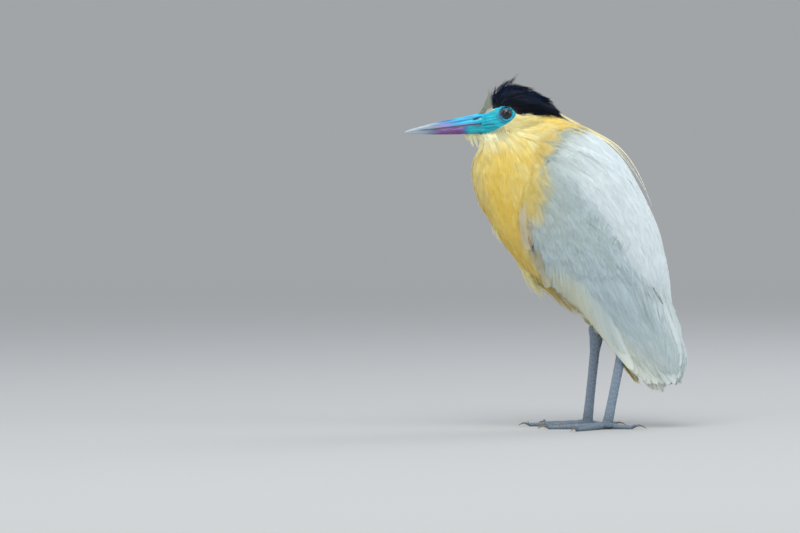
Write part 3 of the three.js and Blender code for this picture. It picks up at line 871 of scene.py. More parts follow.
@dataclass(frozen=True)
class EyeFinish:
    """A wet eye: the rings of its tint under a clear, smooth coat."""

    name: str

    def material(self) -> Material:
        """Builds the node material."""
        nodes = Finish(self.name)
        return nodes.finished({
            "Base Color": nodes.tinted(nodes.spread(nodes.noise(2600, 3), 0.7, 1.3)),
            "Roughness": 0.16,
            "Coat Weight": 0.8,
            "Coat Roughness": 0.02,
            "Specular IOR Level": 0.2,
        })


@dataclass(frozen=True)
class StageFinish:
    """The plain pale floor, which fades into the surround far from the bird."""

    surround: Colour
    grey: float = 0.50
    fade: Pair = (0.7, 4.5)

    def material(self) -> Material:
        """Builds the node material."""
        nodes = Finish("pale_floor")
        glow = nodes.add("Emission", {"Color": (*self.surround, 1)})
        place = nodes.add("NewGeometry").outputs["Position"]
        away = nodes.add("VectorMath", {0: place}, operation="LENGTH").outputs["Value"]
        span = {"Value": away, "From Min": self.fade[0], "From Max": self.fade[1]}
        share = nodes.add("MapRange", span, interpolation_type="SMOOTHSTEP").outputs["Result"]
        ends = {1: nodes.shader.outputs["BSDF"], 2: glow.outputs["Emission"]}
        blend = nodes.add("MixShader", {"Fac": share, **ends})
        nodes.feed(nodes.output, {"Surface": blend.outputs["Shader"]})
        return nodes.finished({
            "Base Color": (self.grey, self.grey, self.grey, 1),
            "Roughness": 1.0,
            "Specular IOR Level": 0.0,
        })


# ---- Feather patterns ----------------------------------------------------------------------------


@dataclass(frozen=True)
class Pattern:
    """A feather laid flat: its points across in half widths, along as a share, and lifted in half widths."""

    places: Array
    faces: Array
    # brightness factors for each point: random tone, with painted shade towards the feather's root
    shade: Array
    bulge: Array  # how far each point's shading leans across and up

    @classmethod
    def puffed(cls, places: Array, faces: Array, shade: Array, puff: float) -> "Pattern":
        """A pattern that is shaded as if it were rounded across by a puff."""
        return cls(places, faces, shade, np.stack([puff * places[:, 0], np.ones(len(places))], 1))

    @staticmethod
    def joined(patterns: Sequence["Pattern"]) -> "Pattern":
        """Several patterns as one feather."""
        starts = starts_of([pattern.places for pattern in patterns])
        faces = np.concatenate([pattern.faces + start for pattern, start in zip(patterns, starts)])
        keys = ("places", "shade", "bulge")
        places, shade, bulge = (np.concatenate([getattr(p, key) for p in patterns]) for key in keys)
        return Pattern(places, faces, shade, bulge)


def halves(quads: Array) -> Array:
    """Both triangles of each quad."""
    return np.concatenate([quads[:, [0, 1, 2]], quads[:, [0, 2, 3]]])


def ribbons(lines: Array, widths: Array, shade: Array, puff: float) -> Pattern:
    """Strips along lines, each ending in a point.

    Args:
        lines: K x M x 3 places along each strip.
        widths: K x M half widths across.
        shade: K brightness factors.
        puff: how round the strips are shaded together.
    Returns:
        The strips as a pattern.
    """
    count, steps = lines.shape[:2]
    side = widths[..., None] * [1, 0, 0]
    sides = np.stack([lines - side, lines + side], 2)[:, :-1].reshape(count, -1, 3)
    places = np.concatenate([sides, lines[:, -1:]], 1)
    size = places.shape[1]
    strip = grid_faces(steps - 1, 2, closed=False)[:, [0, 1, 2, 0, 2, 3]].reshape(-1, 3)
    one = np.concatenate([strip, [[size - 3, size - 2, size - 1]]])
    faces = (one[None] + (np.arange(count) * size)[:, None, None]).reshape(-1, 3)
    # painted shade: each strip a little darker towards its root, lighter towards its tip
    along = np.append(np.linspace(0.93, 1.03, steps - 1).repeat(2), 1.04)
    return Pattern.puffed(places.reshape(-1, 3), faces, (shade[:, None] * along[None]).ravel(), puff)


@dataclass(frozen=True)
class Lock:
    """A loose, hair-like feather: strands that spring from one root and gather to a tip."""

    strands: int
    gather: float
    fineness: float
    ragged: float = 0.4
    lift: float = 0.06
    tone: float = 0.05
    sway: float = 0.07
    puff: float = 0.28
    steps: int = 4

    def pattern(self, random: Random) -> Pattern:
        """Draws one lock."""
        n = self.strands
        root = random.permutation(np.linspace(-1, 1, n)) + random.normal(0, 0.6 / n, n)
        start = random.uniform(0, 0.22, n)
        end = 1 - self.ragged * random.uniform(0, 1, n) ** 1.4 - 0.12 * np.abs(root)
        t = np.linspace(0, 1, self.steps)[None]
        along = start[:, None] + (end - start)[:, None] * t
        drift = random.normal(0, self.sway, n)[:, None] * t**2
        across = root[:, None] * (1 - self.gather * along**1.2) + drift
        up = self.lift * random.uniform(-0.3, 1, n)[:, None] * np.sin(math.pi * (0.15 + 0.6 * t))
        widths = self.fineness * random.uniform(0.7, 1.3, n)[:, None] * (1 - 0.5 * t)
        shade = 1 + self.tone * random.uniform(-1, 1, n)
        return ribbons(np.stack([across, along, up], -1), widths, shade, self.puff)


@dataclass(frozen=True)
class Vane:
    """A flat feather with a whole vane, a round or pointed tip and a frayed edge."""

    columns: int
    rows: int
    widest: float = 0.5
    point: float = 0.55
    fray: float = 0.035
    cup: float = 0.16
    fringe: int = 0
    puff: float = 0.12
    streak: float = 0.03

    def outline(self, along: Array) -> Array:
        """Half width at a share of the length: it opens from the shaft and rounds off at the tip."""
        opening = np.clip(along / self.widest, 0, 1) ** 0.55
        return opening * np.clip((1 - along) / (1 - self.widest), 0, 1) ** self.point

    def pattern(self, random: Random) -> Pattern:
        """Draws one vane with the fringe at its end."""
        u = np.linspace(-1, 1, self.columns)
        along = (1 - (1 - np.linspace(0.0, 1, self.rows)) ** 1.25)[:, None]
        tip = along + self.fray * random.normal(0, 1, (1, self.columns)) * along**4
        across = u[None] * self.outline(along)
        up = -self.cup * across**2 + 0.01 * random.normal(0, 1, across.shape)
        places = np.stack([across, np.minimum(tip, 1.03), up], -1).reshape(-1, 3)
        edge = 1 - 0.06 * np.abs(u) ** 3 + self.streak * random.normal(0, 1, self.columns)
        # painted shade: the vane a little darker towards its root
        shade = (edge[None] * (0.96 + 0.05 * along)).ravel()
        faces = halves(grid_faces(self.rows, self.columns, closed=False))
        vane = Pattern.puffed(places, faces, shade, self.puff)
        return Pattern.joined([vane, self._fringe(random)]) if self.fringe else vane

    def _fringe(self, random: Random) -> Pattern:
        """Loose barbs that stand a little past the vane's end and sides."""
        n = self.fringe
        start = random.uniform(0.45, 0.86, n)
        side = random.choice([-1.0, 1.0], n)
        t = np.linspace(0, 1, 3)[None]
        along = start[:, None] + (0.20 + 0.10 * random.uniform(0, 1, (n, 1))) * t
        reach = side[:, None] * self.outline(np.clip(along, 0, 0.97)) * (0.72 + 0.42 * t)
        up = -self.cup * reach**2 + 0.03 * random.uniform(0, 1, (n, 1)) + 0.02
        lines = np.stack([reach, np.minimum(along, 1 + self.fray), up], -1)
        return ribbons(lines, np.full((n, 3), 0.05) * (1 - 0.5 * t), random.uniform(0.97, 1.06, n), self.puff)


def strand(steps: int = 7) -> Pattern:
    """One round strand that tapers to a point."""
    along = np.linspace(0, 1, steps)[:-1, None]
    turn = turns(3)
    ring = np.stack([np.cos(turn), np.sin(turn)], 1)
    thick = 1 - 0.75 * along**1.5
    places = np.stack([thick * ring[:, 0], np.broadcast_to(along, (steps - 1, 3)), thick * ring[:, 1]], -1)
    end = np.arange(3) + (steps - 2) * 3
    cone = np.stack([end, np.roll(end, -1), np.full(3, end[-1] + 1)], 1)
    faces = np.concatenate([halves(grid_faces(steps - 1, 3)), cone])[:, ::-1]
    bulge = np.concatenate([np.tile(ring, (steps - 1, 1)), [[0.0, 1.0]]])
    return Pattern(np.concatenate([places.reshape(-1, 3), [[0, 1, 0]]]), faces, np.ones(len(bulge)), bulge)


# ---- Laying feathers -----------------------------------------------------------------------------


@dataclass
class Paths:
    """Where feathers run: for each, its shaft's points and the surface's normals under them."""

    points: Array
    normals: Array

    def frames(self) -> tuple[Array, Array]:
        """The side ways and normals along each shaft, square to its run."""
        run = unit(np.gradient(self.points, axis=1))
        sides = unit(np.cross(run, self.normals))
        return sides, unit(np.cross(sides, run))


class Lie:
    """The way the coat lies, from guides on the bird's side: place y, z and way y, z."""

    GUIDES = (
        (-104, 326, 0.18, 0.98), (-98, 335, 0.45, 0.89), (-88, 342, 0.85, 0.5), (-75, 338, 0.97, 0.05),
        (-60, 330, 0.88, -0.45), (-48, 320, 0.85, -0.5), (-92, 325, 0.8, 0.5), (-80, 320, 0.97, 0.1),
        (-62, 316, 0.99, 0.0), (-48, 315, 0.99, 0.0), (-84, 305, 0.97, -0.22), (-98, 295, 0.9, -0.4),
        (-106, 291, 0.5, -0.86), (-66, 303, 0.99, 0.08), (-50, 306, 0.96, 0.16), (-38, 309, 0.92, -0.3),
        (-118, 290, 0.35, -0.93), (-104, 282, 0.3, -0.95), (-88, 288, 0.55, -0.83), (-122, 262, 0.04, -1),
        (-104, 262, 0.02, -1), (-88, 266, 0.08, -1), (-72, 276, 0.45, -0.89), (-58, 282, 0.7, -0.7),
        (-45, 292, 0.85, -0.52), (-64, 254, 0.45, -0.9), (-74, 240, 0.22, -0.97), (-118, 233, 0.2, -0.98),
        (-98, 228, 0.12, -1), (-84, 210, 0.12, -1), (-106, 206, 0.4, -0.92), (-88, 178, 0.55, -0.83),
        (-74, 160, 0.66, -0.75), (-58, 145, 0.72, -0.7), (-78, 188, 0.3, -0.95), (-38, 133, 0.78, -0.63),
        (-8, 110, 0.68, -0.73), (20, 84, 0.62, -0.78), (44, 60, 0.5, -0.86), (-30, 309, 0.84, -0.54),
        (0, 296, 0.82, -0.57), (25, 275, 0.66, -0.75), (45, 243, 0.45, -0.89), (60, 212, 0.33, -0.94),
        (72, 175, 0.15, -0.99), (77, 135, 0.04, -1), (84, 100, 0.15, -0.99), (88, 66, -0.05, -1),
        (-30, 282, 0.72, -0.7), (0, 265, 0.66, -0.75), (20, 235, 0.52, -0.85), (40, 200, 0.42, -0.91),
        (55, 165, 0.36, -0.93), (66, 130, 0.34, -0.94), (-66, 215, 0.12, -0.99), (-66, 190, 0.16, -0.99),
        (-45, 228, 0.5, -0.87), (-44, 190, 0.26, -0.97), (-32, 150, 0.2, -0.98), (-12, 186, 0.34, -0.94),
        (0, 130, 0.34, -0.94), (18, 152, 0.4, -0.92), (18, 100, 0.48, -0.88), (38, 78, 0.52, -0.85),
        (58, 60, 0.48, -0.88), (76, 56, 0.28, -0.96), (50, 108, 0.44, -0.9),
    )
    REACH = 7.0

    def __init__(self) -> None:
        """Reads the guides as arrays."""
        guides = np.array(self.GUIDES, float)
        self.places, self.ways = guides[:, :2], unit(guides[:, 2:])

    def at(self, points: Array, normals: Array, turn: Array) -> Array:
        """The way the coat lies at places, along the surface.

        Args:
            points: N x 3.
            normals: the surface's normals there.
            turn: an angle that each way is turned by in the surface, radians.
        Returns:
            Unit ways, N x 3.
        """
        gaps = ((points[:, None, 1:] - self.places[None]) ** 2).sum(-1)
        weights = 1 / (gaps + self.REACH**2) ** 2.2
        way = np.concatenate([np.zeros((len(points), 1)), weights @ self.ways], 1)
        way = unit(way - normals * dot(way, normals)[:, None])
        return way * np.cos(turn)[:, None] + np.cross(normals, way) * np.sin(turn)[:, None]


LIE = Lie()


def marched(surface: Surface, roots: Array, lengths: Array, steps: int, turn: Array) -> Paths:
    """Shafts that run over a surface with the lie of the coat.

    Args:
        surface: what they run over.
        roots: where they start.
        lengths: how far each runs.
        steps: points on each shaft.
        turn: how far each is turned from the lie, radians.
    Returns:
        The shafts.
    """
    spots, normals, _ = surface.nearest(roots)
    points, ups = [spots], [normals]
    stride = (lengths / (steps - 1))[:, None]
    for _ in range(steps - 1):
        spots, normals, _ = surface.nearest(spots + LIE.at(spots, normals, turn) * stride)
        points.append(spots)
        ups.append(normals)
    return Paths(np.stack(points, 1), np.stack(ups, 1))


@dataclass
class Plan:
    """How one set of feathers is laid on its shafts."""

    half: Array
    base: Array
    rise: Array
    roll: Array
    power: float = 0.8

    def of(self, mine: Array) -> tuple[Array, ...]:
        """The half widths, bases, rises and rolls of some of the feathers, as columns."""
        return tuple(values[mine][:, None] for values in (self.half, self.base, self.rise, self.roll))


@dataclass
class Feathers:
    """A growing set of laid feathers that becomes coat pieces."""

    BAKE_PATCH = (0.0015, 0.003)
    faces: list[Array] = field(default_factory=list)
    rows: list[tuple[Array, ...]] = field(default_factory=list)  # points, tints, vanes, bakes and shading
    total: int = 0

    def lay(self, patterns: Sequence[Pattern], paths: Paths, plan: Plan, tints: Array) -> None:
        """Lays one feather on each shaft, choosing its pattern by turns.

        Args:
            patterns: the drawn feathers.
            paths: the shafts.
            plan: widths, heights and rolls.
            tints: K x 2 x 3 colours at each feather's root and tip.
        """
        sides, ups = paths.frames()
        homes = UNWRAP.at(paths.points[:, 0])
        steps = paths.points.shape[1]
        for k, pattern in enumerate(patterns):
            mine = np.arange(k, len(paths.points), len(patterns))
            if not len(mine):
                continue
            across, along, lift = pattern.places.T
            place = np.clip(along, 0, 1) * (steps - 1)
            low = np.minimum(place.astype(int), steps - 2)
            share = (place - low)[None, :, None]
            spot, side, up = (line[mine][:, low] * (1 - share) + line[mine][:, low + 1] * share
                              for line in (paths.points, sides, ups))
            past = np.maximum(along - 1, 0)[None, :, None]
            last = paths.points[mine][:, -1] - paths.points[mine][:, -2]
            spot = spot + last[:, None] * past * (steps - 1)
            half, base, climb, roll = plan.of(mine)
            reach = across[None] * half
            height = base + climb * np.clip(along, 0, 1)[None] ** plan.power
            height = height + lift[None] * half + reach * np.sin(roll)
            made = spot + side * (reach * np.cos(roll))[..., None] + up * height[..., None]
            shading = unit(side * pattern.bulge[None, :, :1] + up * pattern.bulge[None, :, 1:])
            colour = tints[mine][:, :1] + (tints[mine][:, 1:] - tints[mine][:, :1]) * along[None, :, None]
            vanes = np.broadcast_to(pattern.places[:, :2], (len(mine), len(across), 2))
            bakes = homes[mine][:, None] + (np.stack([across, along - 0.5], -1) * self.BAKE_PATCH)[None]
            laid = (made, colour * pattern.shade[None, :, None], vanes, bakes, shading)
            self.rows.append(tuple(values.reshape(-1, values.shape[-1]) for values in laid))
            starts = self.total + np.arange(len(mine)) * len(across)
            self.faces.append((pattern.faces[None] + starts[:, None, None]).reshape(-1, 3))
            self.total += len(mine) * len(across)

    def dress(self, name: str, finish: Material) -> list[Piece]:
        """Makes the coat pieces, each within the triangle budget, and gives them finish and body.

        Args:
            name: the pieces' common name.
            finish: their material.
        Returns:
            The coat pieces.
        """
        rows = [np.concatenate(kept) for kept in zip(*self.rows)]
        groups: list[list[Array]] = [[]]
        count = 0
        for group in self.faces:
            if count + len(group) > TRIANGLE_BUDGET and count:
                groups.append([])
                count = 0
            groups[-1].append(group)
            count += len(group)
        made = []
        for i, group in enumerate(groups):
            used, inverse = np.unique(np.concatenate(group), return_inverse=True)
            points, tints, vanes, bakes, shading = (kept[used] for kept in rows)
            title = name if len(groups) == 1 else f"{name}_{i + 1}"
            maps = {"OFBake": bakes, "vane": vanes}
            piece = mesh_object(title, points, [inverse.reshape(-1, 3)], tints, maps, shading)
            piece.data.materials.append(finish)
            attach(piece, BODY)
            log.info("coat: %s, %d triangles", piece.name, len(piece.data.polygons))
            made.append(piece)
        return made


class Unwrap:
    """The skin's own unwrap: how far along the bird's spine a place lies, and its turn round it."""

    SPINE = ((82, 38), (66, 74), (48, 112), (28, 150), (2, 186), (-28, 218), (-52, 246), (-66, 272), (-74, 296),
             (-92, 308), (-118, 306))

    def at(self, points: Array) -> Array:
        """Where places lie on the unwrap.

        Args:
            points: N x 3.
        Returns:
            N x 2, each from 0 to 1.
        """
        spine = np.array(self.SPINE, float)
        lengths = np.linalg.norm(np.diff(spine, axis=0), axis=1)
        best = np.full(len(points), np.inf)
        made = np.zeros((len(points), 2))
        done = 0.0
        for a, b, length in zip(spine[:-1], spine[1:], lengths):
            way = (b - a) / length
            gap = points[:, 1:] - a
            t = np.clip(gap @ way, 0, length)
            off = gap - t[:, None] * way
            far = (off**2).sum(1)
            near = far < best
            best = np.where(near, far, best)
            turn = np.arctan2(points[:, 0], off @ np.array([-way[1], way[0]])) / (2 * math.pi) + 0.5
            placed = np.stack([0.02 + 0.96 * turn, 0.02 + 0.96 * (done + t) / lengths.sum()], 1)
            made = np.where(near[:, None], placed, made)
            done += length
        return made


UNWRAP = Unwrap()


# ---- Skin ----------------------------------------------------------------------------------------


@dataclass
class Eyelid:
    """The soft ring of skin round one eye."""

    side: int
    inner: float = 5.15
    outer: float = 7.6
    around: int = 96
    ball: float = 6.8

    def shape(self, skin: Surface) -> Shape:
        """Builds the ring from the eyeball out to the face.

        Args:
            skin: the face that the ring dies away into.
        Returns:
            The ring.
        """
        profile = [0.0, 0.0, 0.05, 0.12, 0.2, 0.3, 0.42, 0.55, 0.7, 0.85, 1.0]
        lift = [-0.6, 0.0, 0.38, 0.55, 0.5, 0.26, 0.06, 0.22, 0.30, 0.12, -0.5]
        angles = turns(self.around)
        rows, tints = [], []
        for share, up in zip(profile, lift):
            lid = 1 - 0.06 * np.clip(np.sin(angles), 0, 1) - 0.03 * np.clip(np.sin(angles), -1, 0)
            radius = (self.inner * lid) * (1 - share) + self.outer * share
            y, z = EYE[1] + radius * np.cos(angles), EYE[2] + radius * np.sin(angles)
            ball = EYE[0] + np.sqrt(np.maximum(self.ball**2 - (y - EYE[1]) ** 2 - (z - EYE[2]) ** 2, 0.5))
            start = np.stack([np.full_like(y, 60.0 * self.side), y, z], 1)
            inward = np.tile([-float(self.side), 0.0, 0.0], (len(y), 1))
            face = 60.0 - np.nan_to_num(skin.strike(start, inward), nan=48.0)
            spread = np.full_like(y, share)
            blend = ease(spread, 0.08, 0.8)
            rough = 0.05 * np.sin(angles * 17) * bell(share - 0.35, 0.3)
            rows.append(np.stack([self.side * (ball * (1 - blend) + face * blend + up + rough), y, z], 1))
            # painted shade: dark where the lid meets the eyeball and in the trough of its fold, more so below
            # the eye
            lids = Paint(row("painted_crease_shade"))
            lids.over("lid", ease(spread, 0.0, 0.12))
            lids.over("deep_blue", bell(share - 0.42, 0.10) * (0.55 + 0.35 * ease(np.sin(angles), 0.6, -0.6)))
            tints.append(mix(lids.made, face_tint(rows[-1]), ease(spread, 0.45, 0.8)))
        faces = grid_faces(len(rows), self.around)[:, :: -self.side]
        return Shape(np.concatenate(rows), [faces], np.concatenate(tints))


@dataclass
class Limb:
    """A bare, scaled length of leg or toe, drawn over its solid along an axis."""

    around: int = 40
    pitch: float = 0.6
    plate: float = 3.4
    relief: float = 0.28
    fullness: float = 1.2

    def shape(self, solid: Surface, line: Array, front: Array, reach: float, soft: int) -> Shape:
        """Builds the length.

        Args:
            solid: the CAD solid that it follows.
            line: points along the axis.
            front: the way its broad plates face.
            reach: the largest radius, where neighbours would be struck.
            soft: how often the rings are smoothed.
        Returns:
            The scaled length.
        """
        gaps = np.concatenate([[0], np.cumsum(np.linalg.norm(np.diff(line, axis=0), axis=1))])
        count = max(int(gaps[-1] / self.pitch), 6)
        at = np.linspace(0, gaps[-1], count)
        middle = np.stack([np.interp(at, gaps, line[:, k]) for k in range(3)], 1)
        run = unit(np.gradient(middle, axis=0))
        fore = unit(front[None] - run * (run @ front)[:, None])
        turn = turns(self.around)
        cosines, sines = np.cos(turn)[None, :, None], np.sin(turn)[None, :, None]
        ways = fore[:, None] * cosines + np.cross(run, fore)[:, None] * sines
        radii = solid.strike(np.repeat(middle, self.around, 0), ways.reshape(-1, 3))
        radii = radii.reshape(count, self.around)
        radii = np.minimum(np.nan_to_num(radii, nan=reach), reach) * self.fullness
        for _ in range(soft):
            radii = smoothed((radii + np.roll(radii, 1, 1) + np.roll(radii, -1, 1)) / 3, 1)
        scale, groove = self._scutes(at, turn, radii.mean())
        made = middle[:, None] + ways * (radii + scale)[..., None]
        made[..., 2] = np.maximum(made[..., 2], 0.0)
        tint = mix(row("leg"), row("leg_pale"), np.clip(0.25 + 0.75 * groove, 0, 1))
        tint = tint * (0.72 + 0.28 * ease(made[..., 2], 8, 20))[..., None]
        tints = np.concatenate([tint.reshape(-1, 3), np.tile(row("leg"), (2, 1))])
        points = np.concatenate([made.reshape(-1, 3), middle[:1], middle[-1:]])
        ring = np.arange(self.around + 1) % self.around
        total = count * self.around
        ends = [fan_faces(total, ring)[:, [0, 2, 1]], fan_faces(total + 1, total - self.around + ring)]
        return Shape(points, [grid_faces(count, self.around), *ends], tints)

    def _scutes(self, at: Array, turn: Array, radius: float) -> tuple[Array, Array]:
        """Faint broad plates down the front and small uneven pebbles all round.

        Args:
            at: distances along the axis.
            turn: angles round it, 0 at the front.
            radius: the limb's mean radius.
        Returns:
            Heights and paleness for each point.
        """
        front = ease(np.cos(turn), 0.35, 0.85)[None]
        wobble = 0.5 * np.sin(at * 0.37)[:, None] + 0.4 * np.sin(turn * 2 + at[:, None] * 0.9)
        share = np.mod((at[:, None] + wobble) / self.plate, 1)
        plates = np.minimum(share, 1 - share) * 2
        plate = self.relief * (np.clip(plates * 4, 0, 1) - 0.6 + 0.35 * share)
        ring = np.stack([np.cos(turn), np.sin(turn)], 1) * radius
        places = np.concatenate([np.tile(ring, (len(at), 1)), np.repeat(at, len(turn))[:, None] * 0.8], 1)
        cells, specks = (ripples(places, *wave).reshape(len(at), -1) for wave in ((1.9, 31), (1.3, 32)))
        pebble = self.relief * (0.45 * np.clip(cells, -0.8, 1) + 0.2 * specks)
        pale = 0.30 + 0.42 * np.clip(cells, -0.7, 1) - 0.45 * np.clip(specks - 0.45, 0, 1)
        pale = np.clip(pale + 0.15 * np.clip(plates * 3, 0, 1) * front, 0, 1)
        return plate * front + pebble * (1 - 0.6 * front), pale


@dataclass
class Leg:
    """One bare leg with its foot, found from its solids."""

    name: str
    toes: tuple[str, ...] = ("inner", "middle", "outer", "hind")
    seat: float = 1.8

    def __post_init__(self) -> None:
        """Finds the shank and the foot."""
        self.shank = Surface.of(f"shank_{self.name}")
        self.foot = Surface.of(f"foot_{self.name}")

    def shapes(self) -> list[Shape]:
        """The leg's scaled lengths: shank, toes and ball."""
        low, high = self.shank.points[:, 2].min() + 1.2, self.shank.points[:, 2].max() - 0.4
        line = self.shank.core(np.linspace(low, high, 26))
        line = np.concatenate([line[:1] - (line[1] - line[0]) * 0.25, line])
        ball = line[0] * [1, 1, 0]
        shank = Limb().shape(self.shank, line, np.array([0.0, -1.0, 0.0]), 7.0, 3)
        return [shank, *(self._toe(toe, ball) for toe in self.toes), self._ball(ball)]

    def claw_line(self, points: Array, ball: Array) -> tuple[Array, Array, Array]:
        """Where a claw springs from and points to.

        Args:
            points: the points of the claw's solid.
            ball: the foot's centre on the floor.
        Returns:
            The claw's root, its tip and the toe's way along the floor.
        """
        far = np.linalg.norm((points - ball)[:, :2], axis=1)
        root = points[far < far.min() + 0.8].mean(0)
        tip = points[far > far.max() - 0.3].mean(0)
        return root, tip, unit((tip - ball) * [1, 1, 0])

    def _toe(self, toe: str, ball: Array) -> Shape:
        """A scaled toe from the ball out to its claw."""
        root, _, way = self.claw_line(Surface.of(f"claw_{toe}_{self.name}").points, ball)
        length = float((root - ball)[:2] @ way[:2]) + self.seat
        distances = np.linspace(3.0, length - 0.6, 22)
        starts = [ball + way * distance + UP * 2 for distance in distances]
        line = np.array([self.foot.middle(start, way, 4.2) for start in starts])
        side = np.cross(way, UP)
        line += side * (-(line - ball) @ side)[:, None]
        return Limb(around=26, pitch=0.5, plate=2.6, relief=0.26).shape(self.foot, line, UP, 3.9, 2)

    def _ball(self, ball: Array) -> Shape:
        """The foot's centre, a low dome that the toes grow from."""
        rows, columns = 16, 40
        angle = math.pi * (np.arange(rows)[:, None] / (rows - 1) - 0.5)
        turn = turns(columns)
        out = 4.6 * np.cos(angle) + 0.05
        z = np.broadcast_to(3.6 + 4.1 * np.sin(angle), (rows, columns))
        x, y = ball[0] + out * np.cos(turn), ball[1] + out * 1.1 * np.sin(turn)
        points = np.stack([x, y, z], -1).reshape(-1, 3)
        points[:, 2] = np.maximum(points[:, 2] + 0.12 * ripples(points, 2.2, 9), 0)
        tint = mix(row("leg"), row("leg_pale"), np.clip(0.3 + 0.5 * ripples(points, 2.2, 9), 0, 1))
        return Shape(points, [grid_faces(rows, columns)], tint * 0.72)


@dataclass
class Skin:
    """The one skin that stands for all the flesh, and the outer shell that the coat reaches."""

    voxel: float = 1.7
    jaw: float = 294.0
    seal: float = 0.4
    smoothing: int = 6
    blending: int = 24
    depths: tuple[float, ...] = (1.4, 3.6, 3.6, 3.2, 0.6, 2.2, 2.2, 2.0, 2.0)  # of the coat, for each of PARTS

    def __post_init__(self) -> None:
        """Gathers the flesh and shapes the shell and the skin."""
        solids = [Surface.of(part.value) for part in PARTS]
        starts = starts_of([solid.points for solid in solids])
        points = np.concatenate([solid.points for solid in solids])
        triangles = np.concatenate([solid.triangles + start for solid, start in zip(solids, starts)])
        self.owner = np.concatenate([np.full(len(solid.triangles), i) for i, solid in enumerate(solids)])
        self.flesh = Surface(points, triangles)
        shell, triangles = largest_body(*self._remeshed(points + self.flesh.normals * self.seal, triangles))
        shell = relaxed(triangles, shell, self.smoothing)
        _, y, z = shell.T
        loose = ease(rise(SCAPULAR, y, z), -16, -4) * ease(y, -52, -38) * ease(z, 112, 130) * ease(z, 296, 286)
        shell = relaxed(triangles, shell, self.blending, 1 - loose)
        self.shell = Surface(shell, triangles)
        self.parts = self._wings_outside(self.part_at(shell))
        depth = np.where(bare_face(shell) > 0.3, 0.25, np.array(self.depths)[self.parts])
        depth = relaxed(triangles, depth, 6)
        inward = -self.shell.normals
        thick = self.shell.strike(shell + inward * 0.05, inward)
        depth = np.minimum(depth, 0.32 * np.nan_to_num(thick, nan=50.0))
        skin = relaxed(triangles, shell + inward * depth[:, None], 2)
        chin = ease(skin[:, 1], -102, -108) * ease(skin[:, 2], 277, 282) * (skin[:, 2] < self.jaw)
        skin[:, 2] += (self.jaw - skin[:, 2]) * 0.8 * (chin * among(self.parts, Part.HEAD))
        self.surface = Surface(skin, triangles)
        log.info("skin: shell of %d points", len(shell))

    def _wings_outside(self, parts: Array) -> Array:
        """Counts as wing what other flesh shows through a wing's outer face."""
        points, normals = self.shell.points, self.shell.normals
        x, y, z = points.T
        outward = np.sign(x)[:, None] * [1, 0, 0]
        unhidden = np.isnan(self.shell.strike(points + outward * 0.6, outward))
        free = unhidden & (normals[:, 0] * outward[:, 0] > 0.3)
        between = (rise(WING_LOW, y, z) > 3) & (rise(SCAPULAR, y, z) < -4) & (y > -36)
        return np.where(free & between, np.where(x > 0, *(PARTS.index(part) for part in WINGS)), parts)

    def part_at(self, points: Array) -> Array:
        """The index in PARTS of the flesh nearest to each point."""
        return self.owner[self.flesh.nearest(points)[2]]

    def _remeshed(self, points: Array, triangles: Array) -> tuple[Array, Array]:
        """Joins overlapping solids into one even mesh."""
        draft = mesh_object("flesh_draft", points, [triangles])
        step = draft.modifiers.new("even", "REMESH")
        step.mode = "VOXEL"
        step.voxel_size = self.voxel * MM
        mesh = bpy.data.meshes.new_from_object(draft.evaluated_get(bpy.context.evaluated_depsgraph_get()))
        even, corners = mesh_arrays(mesh)
        bpy.data.objects.remove(draft)
        bpy.data.meshes.remove(mesh)
        return AXES.read(even), corners

    def build(self) -> Piece:
        """Makes the skin piece: body, face, lids, legs and feet."""
        points, triangles = self._fine_face(self.surface.points, self.surface.triangles)
        points = self._face_folds(points, triangles)
        face = Surface(points, triangles)
        # The skin takes the markings a little darker: painted shade in the gaps between the feathers.
        tint = mix(markings(points, self.part_at(points)) * 0.95, face_tint(points), bare_face(points))
        shapes = [Shape(points, [triangles], tint)]
        shapes += [Eyelid(side).shape(face) for side in SIDES.values()]
        for name in SIDES:
            shapes += Leg(name).shapes()
        whole = Shape.joined(shapes)
        piece = mesh_object("skin", whole.points, whole.faces, whole.tint)
        piece.data.materials.append(SkinFinish("bare_skin").material())
        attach(piece, BODY)
        legs = [f"{kind}_{side}" for kind in ("shank", "foot") for side in SIDES]
        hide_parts(*[part.value for part in PARTS], *legs)
        return piece

    def _fine_face(self, points: Array, triangles: Array) -> tuple[Array, Array]:
        """Splits the face's triangles finely and rounds them."""
        near = (points[:, 1] < -76) & (points[:, 2] > 287) & (points[:, 2] < 328)
        for _ in range(2):
            points, triangles = self._split(points, triangles, near[triangles].all(1))
            near = (points[:, 1] < -77.5) & (points[:, 2] > 289) & (points[:, 2] < 326)
            points = relaxed(triangles, points, 2, 1 - near.astype(float))
        return points, triangles

    @staticmethod
    def _split(points: Array, triangles: Array, chosen: Array) -> tuple[Array, Array]:
        """Cuts the chosen triangles into four, and their neighbours to fit."""
        bm = bmesh.new()
        made = [bm.verts.new(point) for point in points.tolist()]
        edges = set()
        for corners, cut in zip(triangles.tolist(), chosen.tolist()):
            face = bm.faces.new([made[i] for i in corners])
            if cut:
                edges.update(face.edges)
        ordered = sorted(edges, key=lambda e: (e.verts[0].co[:], e.verts[1].co[:]))
        bmesh.ops.subdivide_edges(bm, edges=ordered, cuts=1, use_grid_fill=True)
        bmesh.ops.triangulate(bm, faces=bm.faces[:])
        bm.verts.index_update()
        points = np.array([vert.co[:] for vert in bm.verts])
        triangles = np.array([[vert.index for vert in face.verts] for face in bm.faces])
        bm.free()
        return points, triangles

